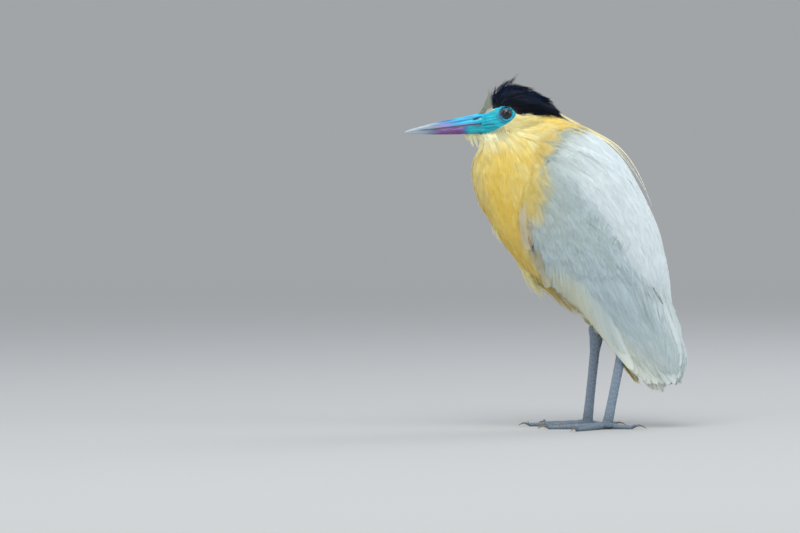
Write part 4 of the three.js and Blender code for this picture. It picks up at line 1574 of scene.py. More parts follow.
    def _face_folds(self, points: Array, triangles: Array) -> Array:
        """Sinks the eye's bed, closes the face on the horn and raises the folds round the eye and gape."""
        x, y, z = points.T
        out = np.hypot(y - EYE[1], z - EYE[2])
        below = ease(np.sin(np.arctan2(z - EYE[2], y - EYE[1])), 0.35, -0.45)
        rings = 0.30 * np.cos((out - 8.8) * 2 * math.pi / 1.85) * bell(out - 9.0, 2.2) * below
        gape = gape_gap(y, z)
        crease = -0.55 * bell(gape, 0.55) - 0.3 * bell(gape - 3.4 - 0.12 * (y + 110), 0.5)
        fold = 0.32 * bell(gape + 1.5, 0.9) + 0.25 * bell(gape - 1.7, 0.9)
        streaks = 0.12 * ripples(np.stack([x * 0, y * 0.15, z], 1), 3.0, 7) * ease(out, 8.5, 11)
        pebble = 0.05 * ripples(points, 1.5, 4) + 0.05 * ripples(points, 2.6, 5)
        move = bare_face(points) * (rings + (crease + fold) * ease(y, -95, -102) + streaks + pebble)
        made = points + Surface(points, triangles).normals * move[:, None]
        level = np.clip(np.abs(z - 304) / np.where(z > 304, 11.3, 9.8), 0, 1)
        horn = 7.0 * (1 - level**2) ** 0.41 + 0.15
        wide, shut = np.abs(made[:, 0]), ease(y, -108.5, -113.5)
        closed = np.minimum(wide, horn) * shut + wide * (1 - shut)
        made[:, 0] = np.sign(made[:, 0]) * np.where(y < -107, closed, wide)
        bed = ease(out, 6.4, 4.9) * (np.abs(x) > 5) * (y < -70)
        made[:, 0] += (np.sign(x) * (EYE[0] + 1.5) - made[:, 0]) * bed
        return made

    def over(self, flat: Array, side: int, parts: Sequence[Part] = ()) -> Array:
        """Places on the skin's outer face above places on the bird's side.

        Args:
            flat: N x 2 as (y, z), in order along a line.
            side: 1 for the left, -1 for the right.
            parts: the only parts that count, where any are given.
        Returns:
            N x 3 places, with those off the skin kept level with their neighbours.
        """
        count, out = len(flat), 120.0
        starts = np.concatenate([np.full((count, 1), out * side), flat], 1)
        reach = out - self.surface.strike(starts, np.tile([-float(side), 0, 0], (count, 1)))
        reach = np.where(reach > 1, reach, np.nan)
        if parts:
            spots = np.concatenate([side * np.nan_to_num(reach)[:, None], flat], 1)
            struck = self.parts[self.surface.triangles[self.surface.nearest(spots)[2], 0]]
            reach = np.where(among(struck, *parts), reach, np.nan)
        known = np.flatnonzero(~np.isnan(reach))
        depth = np.interp(np.arange(count), known, reach[known]) if len(known) else np.zeros(count)
        if count > 7:
            depth = np.convolve(np.pad(depth, 3, mode="edge"), np.ones(7) / 7, "valid")
        return np.concatenate([(side * depth)[:, None], flat], 1)


# ---- Bill, eyes and claws ------------------------------------------------------------------------


@dataclass
class Bill:
    """The horn bill: two halves drawn finely through the stations of their solids."""

    rings: int = 150
    around: int = 56
    overlap: float = 0.35
    into_face: float = 5.0

    def build(self) -> None:
        """Makes both halves."""
        finish = HornFinish("bill_horn_finish").material()
        for node, up in (("bill_upper", 1), ("bill_lower", -1)):
            shape = self._half(node, up)
            piece = mesh_object(f"{node}_horn", shape.points, shape.faces, shape.tint)
            piece.data.materials.append(finish)
            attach(piece, BODY)
            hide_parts(node)
            log.info("bill: %s", piece.name)

    def _half(self, node: str, up: int) -> Shape:
        """One half of the bill.

        Args:
            node: its CAD node.
            up: 1 for the upper half, -1 for the lower.
        Returns:
            Its fine form and colours.
        """
        points = Surface.of(node).points
        stations = np.unique(np.round(points[:, 1], 1))
        rows = [points[np.abs(points[:, 1] - s) < 0.08] for s in stations]
        half_at = [ring[:, 0].max() for ring in rows]
        heights = [ring[:, 2].min() for ring in rows], [ring[:, 2].max() for ring in rows]
        tip, base = stations[0], stations[-1]
        y = tip + (base + self.into_face - tip) * np.linspace(0, 1, self.rings) ** 1.15
        seam, ridge = (through(y, stations, line)[:, None] for line in heights[::up])
        close = np.sqrt(np.clip((y - tip) / 2.2, 0, 1))
        half = through(y, stations, half_at) * np.where(y > base, 0.97, 1.0) * np.maximum(close, 0.12)
        angle = turns(self.around)[None]
        over, sine = np.sin(angle) >= 0, np.abs(np.sin(angle))
        side = np.sign(np.cos(angle)) * np.abs(np.cos(angle)) ** np.where(over, 0.82 if up > 0 else 0.9, 0.7)
        height = (ridge - seam) * sine ** (0.92 if up > 0 else 0.8)
        tuck = -up * self.overlap * sine * (0.6 if up > 0 else -0.2)
        z = seam + np.where(over, height, tuck * close[:, None])
        wide = half[:, None] * np.where(over, 1.0, 0.9) * side * (1.0 if up > 0 else 0.95)
        y = np.broadcast_to(y[:, None], z.shape)
        level = np.broadcast_to(np.where(over, sine**0.92, 0), z.shape)
        wide = wide * (1 - self._relief(y, level, up) / np.maximum(np.abs(wide), 0.8))
        tint = self._tint(y, z, level, up).reshape(-1, 3)
        end = fan_faces(0, np.arange(1, self.around))[:, [0, 2, 1]]
        points = np.stack([wide, y, z], -1).reshape(-1, 3)
        return Shape(points, [grid_faces(self.rings, self.around), end], tint)

    @staticmethod
    def _groove(y: Array) -> Array:
        """The level of the upper half's nasal groove along the bill."""
        return np.interp(y, [-160, -122, -112], [0.42, 0.50, 0.62])

    @staticmethod
    def _slit(y: Array) -> Array:
        """The nostril's level along the bill, low in front and curling up behind."""
        return 0.47 + 0.003 * (y + 122) ** 2 * ease(y, -122, -116)

    def _relief(self, y: Array, level: Array, up: int) -> Array:
        """How deep the horn is cut: the nasal groove, the nostril and the lower half's long groove."""
        if up < 0:
            return 0.28 * bell(level - 0.45, 0.14) * ease(y, -165, -145)
        groove = 0.5 * bell(level - self._groove(y), 0.10) * ease(y, -160, -138)
        slit = 1.4 * bell(level - self._slit(y), 0.07) * ease(y, -122.4, -121.2) * ease(y, -113.4, -114.8)
        rim = -0.25 * bell(level - self._slit(y) - 0.16, 0.08) * ease(y, -124, -121) * ease(y, -112, -114)
        return groove + slit + rim

    def _tint(self, y: Array, z: Array, level: Array, up: int) -> Array:
        """The horn's colours from its pale tip to the blue base, with painted highlights and painted shade.

        Args:
            y: places along the bill.
            z: their heights.
            level: their levels, from 0 at the seam to 1 at the ridge.
            up: 1 for the upper half, -1 for the lower.
        Returns:
            Linear colours.
        """
        places = np.stack([np.zeros(y.size), y.ravel() * 0.05, z.ravel() * 2.4], 1)
        grain = ripples(places, 5, 8).reshape(y.shape)
        fine = ripples(places * 2.3, 5, 18).reshape(y.shape)
        horn = Paint(row("horn_tip") * 1.35)
        horn.over("horn_tip", ease(y, -190, -184))
        horn.over("horn", ease(y, -186, -168) * np.clip(0.6 + 0.4 * grain, 0, 1))
        horn.over("horn_tip", np.clip(0.6 * fine, 0, 0.6) * ease(y, -145, -160), 1.1)
        if up > 0:
            horn.over("horn_tip", 0.7 * ease(level, 0.62, 0.86) * ease(y, -148, -158), 1.15)
            horn.over("bright_blue", ease(y + 7 * level + 2 * grain, -158, -142))
            horn.over("sky", np.clip(0.5 * grain + 0.35, 0, 0.9) * ease(y, -146, -126))
            horn.over("deep_blue", 0.8 * bell(level - 0.84, 0.10) * bell(y + 149, 9))
            horn.over("deep_blue", 0.55 * bell(level - 0.72, 0.07) * bell(y + 128, 9))
            horn.over("violet", 0.9 * bell(y + 151, 8) * bell(level - 0.40, 0.20))
            horn.over("violet", 0.6 * bell(level - 0.15, 0.06) * ease(y, -158, -150) * ease(y, -118, -128), 1.2)
            # painted shade in the nasal groove
            horn.over("deep_blue", 0.7 * bell(level - self._groove(y) - 0.05, 0.05) * ease(y, -150, -134))
            # painted highlight: a pale streak below the nostril
            horn.over("sky", 0.8 * bell(level - 0.31, 0.07) * bell(y + 126, 13), 1.25)
            horn.over("deep_blue", 0.5 * bell(level - 0.22, 0.04) * ease(y, -145, -130))
            # painted highlight along the ridge
            horn.over("sky", 0.5 * bell(level - 0.93, 0.05) * ease(y, -150, -138), 1.2)
            # painted shade in the nostril
            slit = bell(level - self._slit(y), 0.085) * ease(y, -122.8, -121.4) * ease(y, -113.2, -114.6)
            horn.over("painted_crease_shade", np.clip(slit * 1.4, 0, 1), 0.2)
        else:
            horn.over("deep_blue", 0.5 * bell(y + 163, 6), 1.6)
            horn.over("purple", ease(y + 3 * grain, -166, -154))
            horn.over("violet", 0.85 * bell(level - 0.22, 0.13) * ease(y, -160, -150) * ease(y, -126, -136))
            horn.over("purple", np.clip(0.6 * fine, 0, 0.7) * ease(y, -165, -155), 0.5)
            horn.over("purple", 0.6 * ease(level, 0.75, 1.0) * ease(y, -162, -152), 0.6)
            horn.over("bright_blue", ease(y + 2 * grain, -133, -127), 0.8)
            horn.over("turquoise", ease(y + 1.5 * grain, -129, -124))
            horn.over("sky", np.clip(0.25 + 0.5 * fine, 0, 0.7) * ease(y, -128, -122))
        # painted shade along the seam where the bill's halves meet
        horn.over("painted_crease_shade", 0.9 * ease(level, 0.08, 0.0) * ease(y, -182, -165))
        face = face_tint(np.stack([np.zeros(y.size), y.ravel(), z.ravel()], 1)).reshape(horn.made.shape)
        base = (-119, -112.5) if up > 0 else (-125, -116)
        return mix(horn.made, face, ease(y, *base) * (level > 0.02))


@dataclass
class Eye:
    """One eyeball with its iris and pupil."""

    name: str
    radius: float = 6.75
    iris: float = 5.3
    pupil: float = 3.3
    rows: int = 40
    around: int = 48

    def build(self) -> Piece:
        """Makes the eyeball."""
        node, side = f"eye_{self.name}", SIDES[self.name]
        angle = np.linspace(0.0, math.pi * 0.62, self.rows)[:, None]
        turn = turns(self.around)[None]
        out = self.radius * np.sin(angle)
        x = side * (EYE[0] + self.radius * np.cos(angle) + 0.35 * bell(angle, 0.55)) * np.ones_like(turn)
        points = np.stack([x, EYE[1] + out * np.cos(turn), EYE[2] + out * np.sin(turn)], -1).reshape(-1, 3)
        ring = np.broadcast_to(out, x.shape).ravel()
        tint = Paint(row("iris"))
        tint.over("iris_rim", ease(ring, self.pupil, self.pupil + 0.9))
        tint.over("pupil", ease(ring, self.pupil + 0.2, self.pupil - 0.1))
        tint.over("iris_edge", ease(ring, self.iris - 0.7, self.iris - 0.1))
        faces = grid_faces(self.rows, self.around)[:, ::side]
        piece = mesh_object(f"{node}_ball", points, [faces], tint.made)
        piece.data.materials.append(EyeFinish(f"{node}_wet").material())
        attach(piece, BODY)
        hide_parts(node)
        return piece


@dataclass
class Claw:
    """One curved horn claw, round in section."""

    leg: Leg
    toe: str
    rings: int = 22
    around: int = 18

    def build(self, finish: Material) -> Piece:
        """Makes the claw.

        Args:
            finish: its horn material.
        Returns:
            The claw piece.
        """
        node = f"claw_{self.toe}_{self.leg.name}"
        solid, shank = Surface.of(node), self.leg.shank.points
        ball = shank[shank[:, 2] < shank[:, 2].min() + 1.5].mean(0) * [1, 1, 0]
        root, tip, way = self.leg.claw_line(solid.points, ball)
        length = float((tip - root) @ way)
        share = np.linspace(0.02, 0.97, self.rings)
        line = smoothed(np.array([solid.middle(root + way * length * s, way) for s in share]), 3)
        radius = 1.25 * (1 - share) ** 0.75 + 0.12
        side = np.cross(way, UP)
        up = np.cross(side, unit(np.gradient(line, axis=0)))
        turn = turns(self.around)
        ring = side * np.cos(turn)[:, None] * 0.85
        round_line = ring[None] + up[:, None] * np.sin(turn)[None, :, None]
        made = line[:, None] + round_line * radius[:, None, None]
        made[..., 2] = np.maximum(made[..., 2], 0.05)
        tint = np.repeat(mix(row("leg"), row("claw"), ease(share, 0.05, 0.5)), self.around, 0)
        last = (self.rings - 1) * self.around
        faces = [grid_faces(self.rings, self.around), fan_faces(last, last + np.arange(1, self.around))]
        piece = mesh_object(f"{node}_horn", made.reshape(-1, 3), faces, tint)
        piece.data.materials.append(finish)
        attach(piece, BODY)
        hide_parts(node)
        return piece


# ---- Coat ----------------------------------------------------------------------------------------


@dataclass
class Site:
    """What a tract may ask about places on the skin."""

    points: Array
    normals: Array
    parts: Array
    BELLY_TOP = ([-60, -40, 0, 40, 80], [152, 143, 130, 106, 86])

    def on(self, *parts: Part) -> Array:
        """Which places lie on these parts."""
        return among(self.parts, *parts)

    def take(self, chosen: Array) -> "Site":
        """Only the chosen places."""
        return Site(self.points[chosen], self.normals[chosen], self.parts[chosen])

    @property
    def y(self) -> Array:
        """How far places lie behind the ankles."""
        return self.points[:, 1]

    @property
    def z(self) -> Array:
        """Heights over the floor."""
        return self.points[:, 2]

    @property
    def scapular(self) -> Array:
        """Heights over the line that the shoulder feathers end on."""
        return rise(SCAPULAR, self.y, self.z)

    @property
    def wing_low(self) -> Array:
        """Heights over the wing's low edge."""
        return rise(WING_LOW, self.y, self.z)

    @property
    def cap(self) -> Array:
        """Heights over the cap's lower edge."""
        return rise(CAP_EDGE, self.y, self.z)

    @property
    def behind(self) -> Array:
        """How far places lie behind the edge where yellow turns white."""
        return behind_yellow(self.y, self.z)

    @property
    def bare(self) -> Array:
        """Which places are bare face."""
        return bare_face(self.points) > 0.45

    @property
    def forehead(self) -> Array:
        """Which places carry the pale tuft over the bill's base."""
        return self.on(Part.HEAD, Part.CREST) & (inside(TUFT, self.y, self.z) > -1) & ~self.bare

    @property
    def under(self) -> Array:
        """Which places on the trunk face down or lie under the wings."""
        return self.on(Part.TRUNK) & (rise(self.BELLY_TOP, self.y, self.z) < 0)

    @property
    def outer_wing(self) -> Array:
        """Which places on the wings face outward."""
        return self.on(*WINGS) & (self.normals[:, 0] * np.sign(self.points[:, 0]) > 0.25)

    @property
    def long_feathered(self) -> Array:
        """Which places on the wings' outer faces are left to the long feathers."""
        return self.outer_wing & (rise(COVERTS_END, self.y, self.z) < -4)

    @property
    def lobed(self) -> Array:
        """Which places are left to the tan lobes at the wings' front edges and the edge between them."""
        deep = np.maximum(lobes(self.y, self.z), lobes(self.y - 3.5, self.z))
        return self.outer_wing & ((deep > 1.0) | ((ahead(self.y, self.z) > -3.5) & (self.z < 182)))


def flat_back(site: Site) -> Array:
    """How high feathers stand: close to the skin where it faces straight back."""
    return 1 - 0.85 * ease(site.normals[:, 1], 0.35, 0.8)


def roofed(paths: Paths) -> Array:
    """Normals that lean outward on the flat back, where feathers close like a roof."""
    lean = 0.18 * np.clip(paths.points[..., 0] / 5, -1, 1) * ease(paths.normals[..., 1], 0.35, 0.8)
    return unit(paths.normals + lean[..., None] * [1.0, 0, 0])


def breast_lift(site: Site) -> Array:
    """How high feathers stand: fuller at the front of the neck."""
    return 1 + 1.3 * ease(site.y, -106, -118) * ease(site.z, 215, 240)


@dataclass
class Tract:
    """One tract of feathers: where it grows and how its feathers are drawn and laid."""

    name: str
    where: Callable[[Site], Array]
    spacing: float
    length: Pair
    half: float
    base: float
    rise: float
    make: Lock | Vane
    finish: PlumageFinish
    slot: str = "white_feather"
    variants: int = 11
    steps: int = 6
    roll: float = 0.03
    sway: float = 0.07
    uneven: float = 0.03
    spill: float = 0.12
    mottle: float = 1.2
    power: float = 0.8
    turn: float = 0.0
    blend: float = 0.5
    grade: Callable[[Site], Array] | None = None
    lift: Callable[[Site], Array] | None = None


class Coat:
    """The plumage: scatters each tract's roots over the skin and lays its feathers."""

    def __init__(self, skin: Skin) -> None:
        """Takes the skin that it grows on."""
        self.skin = skin
        self.random = np.random.default_rng(SEED)
        self.coarse = 1.0

    def roots(self, tract: Tract) -> Site:
        """Evenly scattered roots on a tract.

        Args:
            tract: whose roots.
        Returns:
            The roots.
        """
        surface = self.skin.surface
        spacing = tract.spacing * self.coarse
        count = int(surface.areas.sum() / spacing**2 * 3.0)
        faces = self.random.choice(len(surface.areas), count, p=surface.areas / surface.areas.sum())
        corners = surface.triangles[faces]
        spots = (surface.points[corners] * self.random.dirichlet((1, 1, 1), count)[..., None]).sum(1)
        site = Site(spots, surface.normal_at(spots, faces), self.skin.parts[corners[:, 0]])
        site = site.take(tract.where(site))
        total = len(site.points)
        tree = KDTree(total)
        for i, spot in enumerate(site.points.tolist()):
            tree.insert(spot, i)
        tree.balance()
        keep, gone = np.zeros(total, bool), np.zeros(total, bool)
        for i, spot in enumerate(site.points.tolist()):
            if not gone[i]:
                keep[i] = True
                gone[[other for _, other, _ in tree.find_range(spot, spacing)]] = True
        return site.take(keep)

    def grow(self, tract: Tract) -> list[Piece]:
        """Grows one tract.

        Args:
            tract: what to grow.
        Returns:
            Its coat pieces.
        """
        random = self.random
        site = self.roots(tract)
        count = len(site.points)
        scale, raised = (ask(site) if ask else np.ones(count) for ask in (tract.grade, tract.lift))
        lengths = random.uniform(*tract.length, count) * scale
        left = np.where(site.points[:, 0] > 0, 1, -1)
        turn = random.normal(0, tract.sway, count) + tract.turn * left
        paths = marched(self.skin.surface, site.points, lengths, tract.steps, turn)
        if tract.lift is flat_back:
            paths.normals = roofed(paths)
        plan = Plan(
            tract.half * scale**0.5 * random.uniform(0.85, 1.15, count) * (1.25 if self.coarse > 1 else 1),
            (tract.base + 0.12 * random.uniform(-1, 1, count)) * np.minimum(raised, 1),
            tract.rise * raised * (1 + tract.spill * random.uniform(-1, 1, count)) * np.minimum(scale, 1),
            (tract.roll + random.normal(0, 0.5 * abs(tract.roll) + 0.01, count)) * left,
            tract.power,
        )
        bright = 1 + tract.uneven * random.normal(0, 1, (count, 1))
        stray = site.points + random.normal(0, tract.mottle, site.points.shape) * [0, 1, 1]
        root_tint = markings(stray, site.parts) * bright
        tip_tint = markings(paths.points[:, -1], site.parts) * bright
        tip_tint = mix(root_tint, tip_tint, np.full(count, tract.blend))
        patterns = [tract.make.pattern(random) for _ in range(tract.variants)]
        feathers = Feathers()
        feathers.lay(patterns, paths, plan, np.stack([root_tint, tip_tint * 1.02], 1))
        return feathers.dress(tract.name, tract.finish.material())


def tracts() -> list[Tract]:
    """All tracts that grow straight from the skin, from the belly to the cap."""
    white = PlumageFinish("white_feather_finish", barbs=90.0, relief=0.2)
    soft_white = PlumageFinish("mantle_finish", unevenness=0.03, roughness=0.8)
    yellow = PlumageFinish("buff_feather_finish", sheen=0.3)
    black = PlumageFinish("black_feather_finish", roughness=0.5, sheen=0.0, unevenness=0.1, gloss=0.12)
    silk = Lock(24, 0.06, 0.07, ragged=0.55, lift=0.02, tone=0.012, sway=0.04)
    cotton = Lock(22, 0.1, 0.075, ragged=0.5, lift=0.07, tone=0.03, sway=0.16)
    combed = Lock(20, 0.25, 0.08, ragged=0.5, lift=0.04, tone=0.06, sway=0.05)
    threads = Lock(9, 0.25, 0.055, ragged=0.55, lift=0.05, tone=0.06)
    bristles = Lock(14, 0.2, 0.085, lift=0.04, tone=0.06)
    spikes = Lock(16, 0.6, 0.075, ragged=0.55, lift=0.3, tone=0.45)
    buff = "buff_feather"
    return [
        Tract("coat_belly", lambda s: s.under | s.on(*THIGHS),
              3.0, (15, 24), 2.8, 0.2, 1.4, combed, yellow, buff),
        Tract("coat_breast", lambda s: s.on(Part.NECK) & (s.z < 216),
              2.4, (22, 34), 2.7, 0.3, 2.0, combed, yellow, buff, uneven=0.04, lift=breast_lift),
        Tract("coat_neck", lambda s: s.on(Part.NECK) & (s.z >= 206 + 14 * ease(s.y, -76, -66)),
              2.2, (20, 30), 2.4, 0.3, 1.8, combed, yellow, buff, lift=breast_lift,
              grade=lambda s: 1 - 0.55 * ease(s.behind, -24, -4)),
        Tract("coat_under_coverts", lambda s: s.on(*WINGS) & ~s.outer_wing & (s.wing_low > 6) & (s.z < 200),
              4.2, (14, 22), 4.6, 0.1, 0.6, silk, soft_white, uneven=0.02, lift=flat_back),
        Tract("coat_long", lambda s: s.long_feathered & (s.wing_low > 7) & ~s.lobed,
              3.9, (44, 58), 4.4, 1.3, 1.2, silk, soft_white, uneven=0.022, spill=0.05, steps=8, sway=0.03,
              grade=lambda s: np.clip(0.85 * s.wing_low / 51, 0.12, 1)),
        Tract("coat_coverts",
              lambda s: s.on(*WINGS) & (s.scapular < 4) & ~s.long_feathered & ~s.lobed & (s.z > 100),
              3.4, (17, 26), 4.4, 1.0, 1.3, cotton, soft_white, sway=0.12, lift=flat_back),
        Tract("coat_mantle", lambda s: (s.on(Part.TRUNK) & ~s.under) | (s.on(*WINGS) & (s.scapular > -1)),
              3.0, (30, 46), 4.8, 0.5, 0.9, silk, soft_white, uneven=0.01, spill=0.04, roll=0.01, sway=0.05,
              lift=flat_back, grade=lambda s: 0.45 + 0.55 * ease(s.behind, 0, 30)),
        Tract("coat_fringe", lambda s: s.on(Part.NECK, Part.TRUNK, *WINGS)
              & (s.z > 205 + 18 * ease(s.y, -78, -67)) & (np.abs(s.behind + 3) < 7),
              2.1, (13, 22), 2.2, 1.9, 1.7, threads, yellow, buff, turn=0.28, mottle=3.0, sway=0.16,
              blend=0.1),
        Tract("coat_cheek", lambda s: s.on(Part.HEAD) & ~s.bare & (s.z > 286) & (s.cap < -0.6)
              & ~s.forehead & ((s.z < 311) | (s.y > -76)) & (s.y > -110),
              1.4, (9, 16), 1.5, 0.1, 0.8, bristles, yellow, buff,
              grade=lambda s: 0.45 + 0.55 * ease(s.y, -100, -74)),
        Tract("coat_cap", lambda s: s.on(Part.CREST, Part.HEAD) & ~s.bare & ~s.forehead
              & (s.cap > 0.3 + 1.2 * ease(s.y, -60, -46)),
              1.8, (17, 29), 1.6, 0.1, 3.4, spikes, black, "black_feather", spill=0.5, sway=0.16, power=1.3,
              uneven=0.15, mottle=0.1, blend=0.0, grade=lambda s: 0.35 + 0.65 * ease(s.y, -103, -84),
              lift=lambda s: 0.25 + 0.75 * ease(s.cap, 1, 12)),
        Tract("coat_tail", lambda s: s.on(Part.TAIL) & (s.z > 52), 4.6, (9, 14), 4.4, 0.1, 0.5,
              Vane(7, 9, fringe=12), white, variants=5),
    ]


# ---- Flight feathers -----------------------------------------------------------------------------


@dataclass(frozen=True)
class Quill:
    """One long wing feather, placed on the bird's side as (y, z)."""

    root: Pair
    tip: Pair
    half: float
    bow: float
    height: float
    tint: str = ""  # a palette colour for the broad quills, which lie over the lobes at the front edge


@dataclass
class Wing:
    """The long feathers of one folded wing, laid on its shell."""

    PRIMARY_TIPS = ((56, 44), (62, 43.8), (68, 44), (74, 44), (79.5, 44), (83, 50), (84, 62), (82.5, 78))
    LOBES = (Quill((-53, 184), (-47.4, 141.8), 8.6, -1.4, 2.4, "alula"),
             Quill((-67.2, 229), (-66.6, 178.9), 9.2, -0.8, 1.8, "wrist"))
    name: str
    skin: Skin
    secondaries: int = 24
    steps: int = 18

    def quills(self) -> list[Quill]:
        """The wing's long feathers but for its lobes, the lowest laid first."""
        made = []
        for i, tip in enumerate(self.PRIMARY_TIPS):
            t = i / (len(self.PRIMARY_TIPS) - 1)
            made.append(Quill((24 + 40 * t, 124 + 24 * t), tip, 7.6, -2.5 + 3.5 * t, 0.4 + 0.7 * t))
        for t in np.linspace(0, 1, self.secondaries).tolist():
            y = -41 + 96 * t
            z = float(np.interp(y, *WING_LOW)) + 1.5
            lean, long = 0.10 + 0.34 * t, 46 + 58 * t
            root = (y - long * lean, z + long * math.sqrt(1 - lean**2))
            made.append(Quill(root, (y, z), 7.0, -1.5 - 4.5 * t, 0.7 + 0.7 * t))
        return made

    def paths(self, quills: Sequence[Quill]) -> Paths:
        """Shafts over the wing's outer face for placed quills."""
        side = SIDES[self.name]
        points, normals = [], []
        for quill in quills:
            root, tip = np.array(quill.root), np.array(quill.tip)
            t = np.linspace(0, 1, self.steps)[:, None]
            way = unit(tip - root)
            flat = root + (tip - root) * t + np.array([-way[1], way[0]]) * quill.bow * 4 * t * (1 - t)
            line = self.skin.over(flat, side, WINGS)
            outward = self.skin.surface.nearest(line)[1] * [1, 0.35, 0.35] + np.array([0.9 * side, 0, 0])
            points.append(line)
            normals.append(unit(smoothed(unit(outward), 3)))
        return Paths(np.array(points), np.array(normals))

    def build(self) -> list[Piece]:
        """Lays the long feathers of this wing and then its two lobes."""
        random = np.random.default_rng(SEED + 3 + SIDES[self.name])
        long = Vane(11, 22, widest=0.72, point=0.5, fray=0.002, cup=0.05, fringe=10, puff=0.05)
        lobe = Vane(15, 30, widest=0.38, point=0.45, fray=0.006, cup=0.05, fringe=90, puff=0.2)
        feathers = Feathers()
        for vane, quills in ((long, self.quills()), (lobe, self.LOBES)):
            self._lay(quills, vane, feathers, random)
        name = f"quills_{self.name}"
        finish = PlumageFinish(f"{name}_finish", barbs=150.0, relief=0.1, unevenness=0.03).material()
        return feathers.dress(name, finish)

    def _lay(self, quills: Sequence[Quill], vane: Vane, feathers: Feathers, random: Random) -> None:
        """Lays some of the quills.

        Args:
            quills: which.
            vane: how they are drawn.
            feathers: what they are added to.
            random: where their unevenness comes from.
        """
        side = SIDES[self.name]
        paths, count = self.paths(quills), len(quills)
        height = np.array([quill.height for quill in quills])
        base = height * np.array([0.25 if quill.tint else 0.75 for quill in quills])
        half = np.array([quill.half for quill in quills])
        plan = Plan(half, base, height - base + 0.4, np.full(count, 0.07 * side), 0.5)
        parts = np.full(count, PARTS.index(WINGS[0] if side > 0 else WINGS[1]))
        tints = np.stack([markings(paths.points[:, end], parts) for end in (0, -1)], 1)
        tints = tints * random.uniform(0.98, 1.03, (count, 1, 1))
        for i, quill in enumerate(quills):
            if quill.tint:
                tints[i] = row(quill.tint)
        feathers.lay([vane.pattern(random) for _ in range(min(7, count))], paths, plan, tints)


@dataclass
class Rear:
    """The long feathers that close the back over the folded wing tips, and the tail's own."""

    BACK = ([46, 52, 60, 70, 80, 90, 100, 110, 120, 130, 140, 150, 165],
            [83, 87, 89.4, 89.8, 88.2, 85.2, 82, 79, 76.6, 75.4, 74.4, 73.2, 71.6])
    TAIL_TIPS = ((50.5, 44.5), (53.5, 41), (57, 38), (60.5, 36.7), (64, 36.6), (67.5, 37.6), (70, 40.6))
    TAIL_WIDE = ([48, 60, 64, 68, 72], [12, 12, 10.8, 8.4, 3])
    steps: int = 16

    def build(self) -> None:
        """Makes both sets."""
        random = np.random.default_rng(SEED + 12)
        vane = Vane(9, 18, widest=0.6, point=0.5, fray=0.002, cup=0.06, puff=0.08)
        finish = PlumageFinish("rear_finish", barbs=150.0, relief=0.1, unevenness=0.03).material()
        for name, paths, half, part in (("back_feathers", self._back(random), 5.0, Part.WING_LEFT),
                                        ("tail_feathers", self._tail(), 4.2, Part.TAIL)):
            count = len(paths.points)
            base, lift = np.linspace(0.1, 0.6, count), np.full(count, 0.3)
            plan = Plan(np.full(count, half), base, lift, np.zeros(count))
            parts = np.full(count, PARTS.index(part))
            tints = np.stack([markings(paths.points[:, end], parts) for end in (0, -1)], 1)
            feathers = Feathers()
            feathers.lay([vane.pattern(random) for _ in range(5)], paths, plan, tints)
            feathers.dress(name, finish)

    def _back(self, random: Random) -> Paths:
        """Shafts down the lower back, outer ones first."""
        t = np.linspace(0, 1, self.steps)
        lines = []
        for x in sorted(np.linspace(-9, 9, 13).tolist(), key=lambda x: -abs(x)):
            top, end = 160 - 0.1 * x**2 + random.uniform(-4, 4), 50 + 0.12 * x**2 + random.uniform(-1.5, 1.5)
            z = top + (end - top) * t
            lines.append(np.stack([x * (1 - 0.35 * t), np.interp(z, *self.BACK) - 0.012 * x**2, z], 1))
        made = np.array(lines)
        level = np.ones(made.shape[:2])
        return Paths(made, unit(np.stack([made[..., 0] * 0.04, level, level * 0.1], -1)))

    def _tail(self) -> Paths:
        """Shafts down both sides of the tail and behind it."""
        t = np.linspace(0, 1, self.steps)
        lines, normals = [], []
        for x in (-8.0, 8.0, -4.0, 4.0, 0.0):
            z = 78 + (43 + 0.03 * x**2 - 78) * t
            lines.append(np.stack([x * (1 - 0.15 * t), 72.6 - 0.05 * x**2 - 3.5 * t**3, z], 1))
            normals.append([x * 0.06, 1, 0])
        for side in SIDES.values():
            for i, (y_tip, z_tip) in enumerate(self.TAIL_TIPS):
                y, z = 47 + 3.1 * i + (y_tip - 47 - 3.1 * i) * t, 80 + (z_tip - 80) * t
                wide = np.interp(y, *self.TAIL_WIDE) * (1 - 0.25 * ease(z, 50, 38))
                lines.append(np.stack([side * (wide + 0.3), y, z], 1))
                normals.append([side, 0.1 + 0.1 * i, 0])
        return Paths(np.array(lines), unit(np.repeat(np.array(normals)[:, None], self.steps, 1)))


@dataclass(frozen=True)
class Fan:
    """A spray of single strands whose roots and tips run along two lines on the bird's side."""

    roots: tuple[float, float, float, float]  # y and z of the first and of the last root
    tips: tuple[float, float, float, float]
    count: int
    half: float
    tint: str
    spread: float = 3.0
    gather: float = 0.5
    bow: float = 0.0
    out: float = 0.0
    jitter: float = 0.8


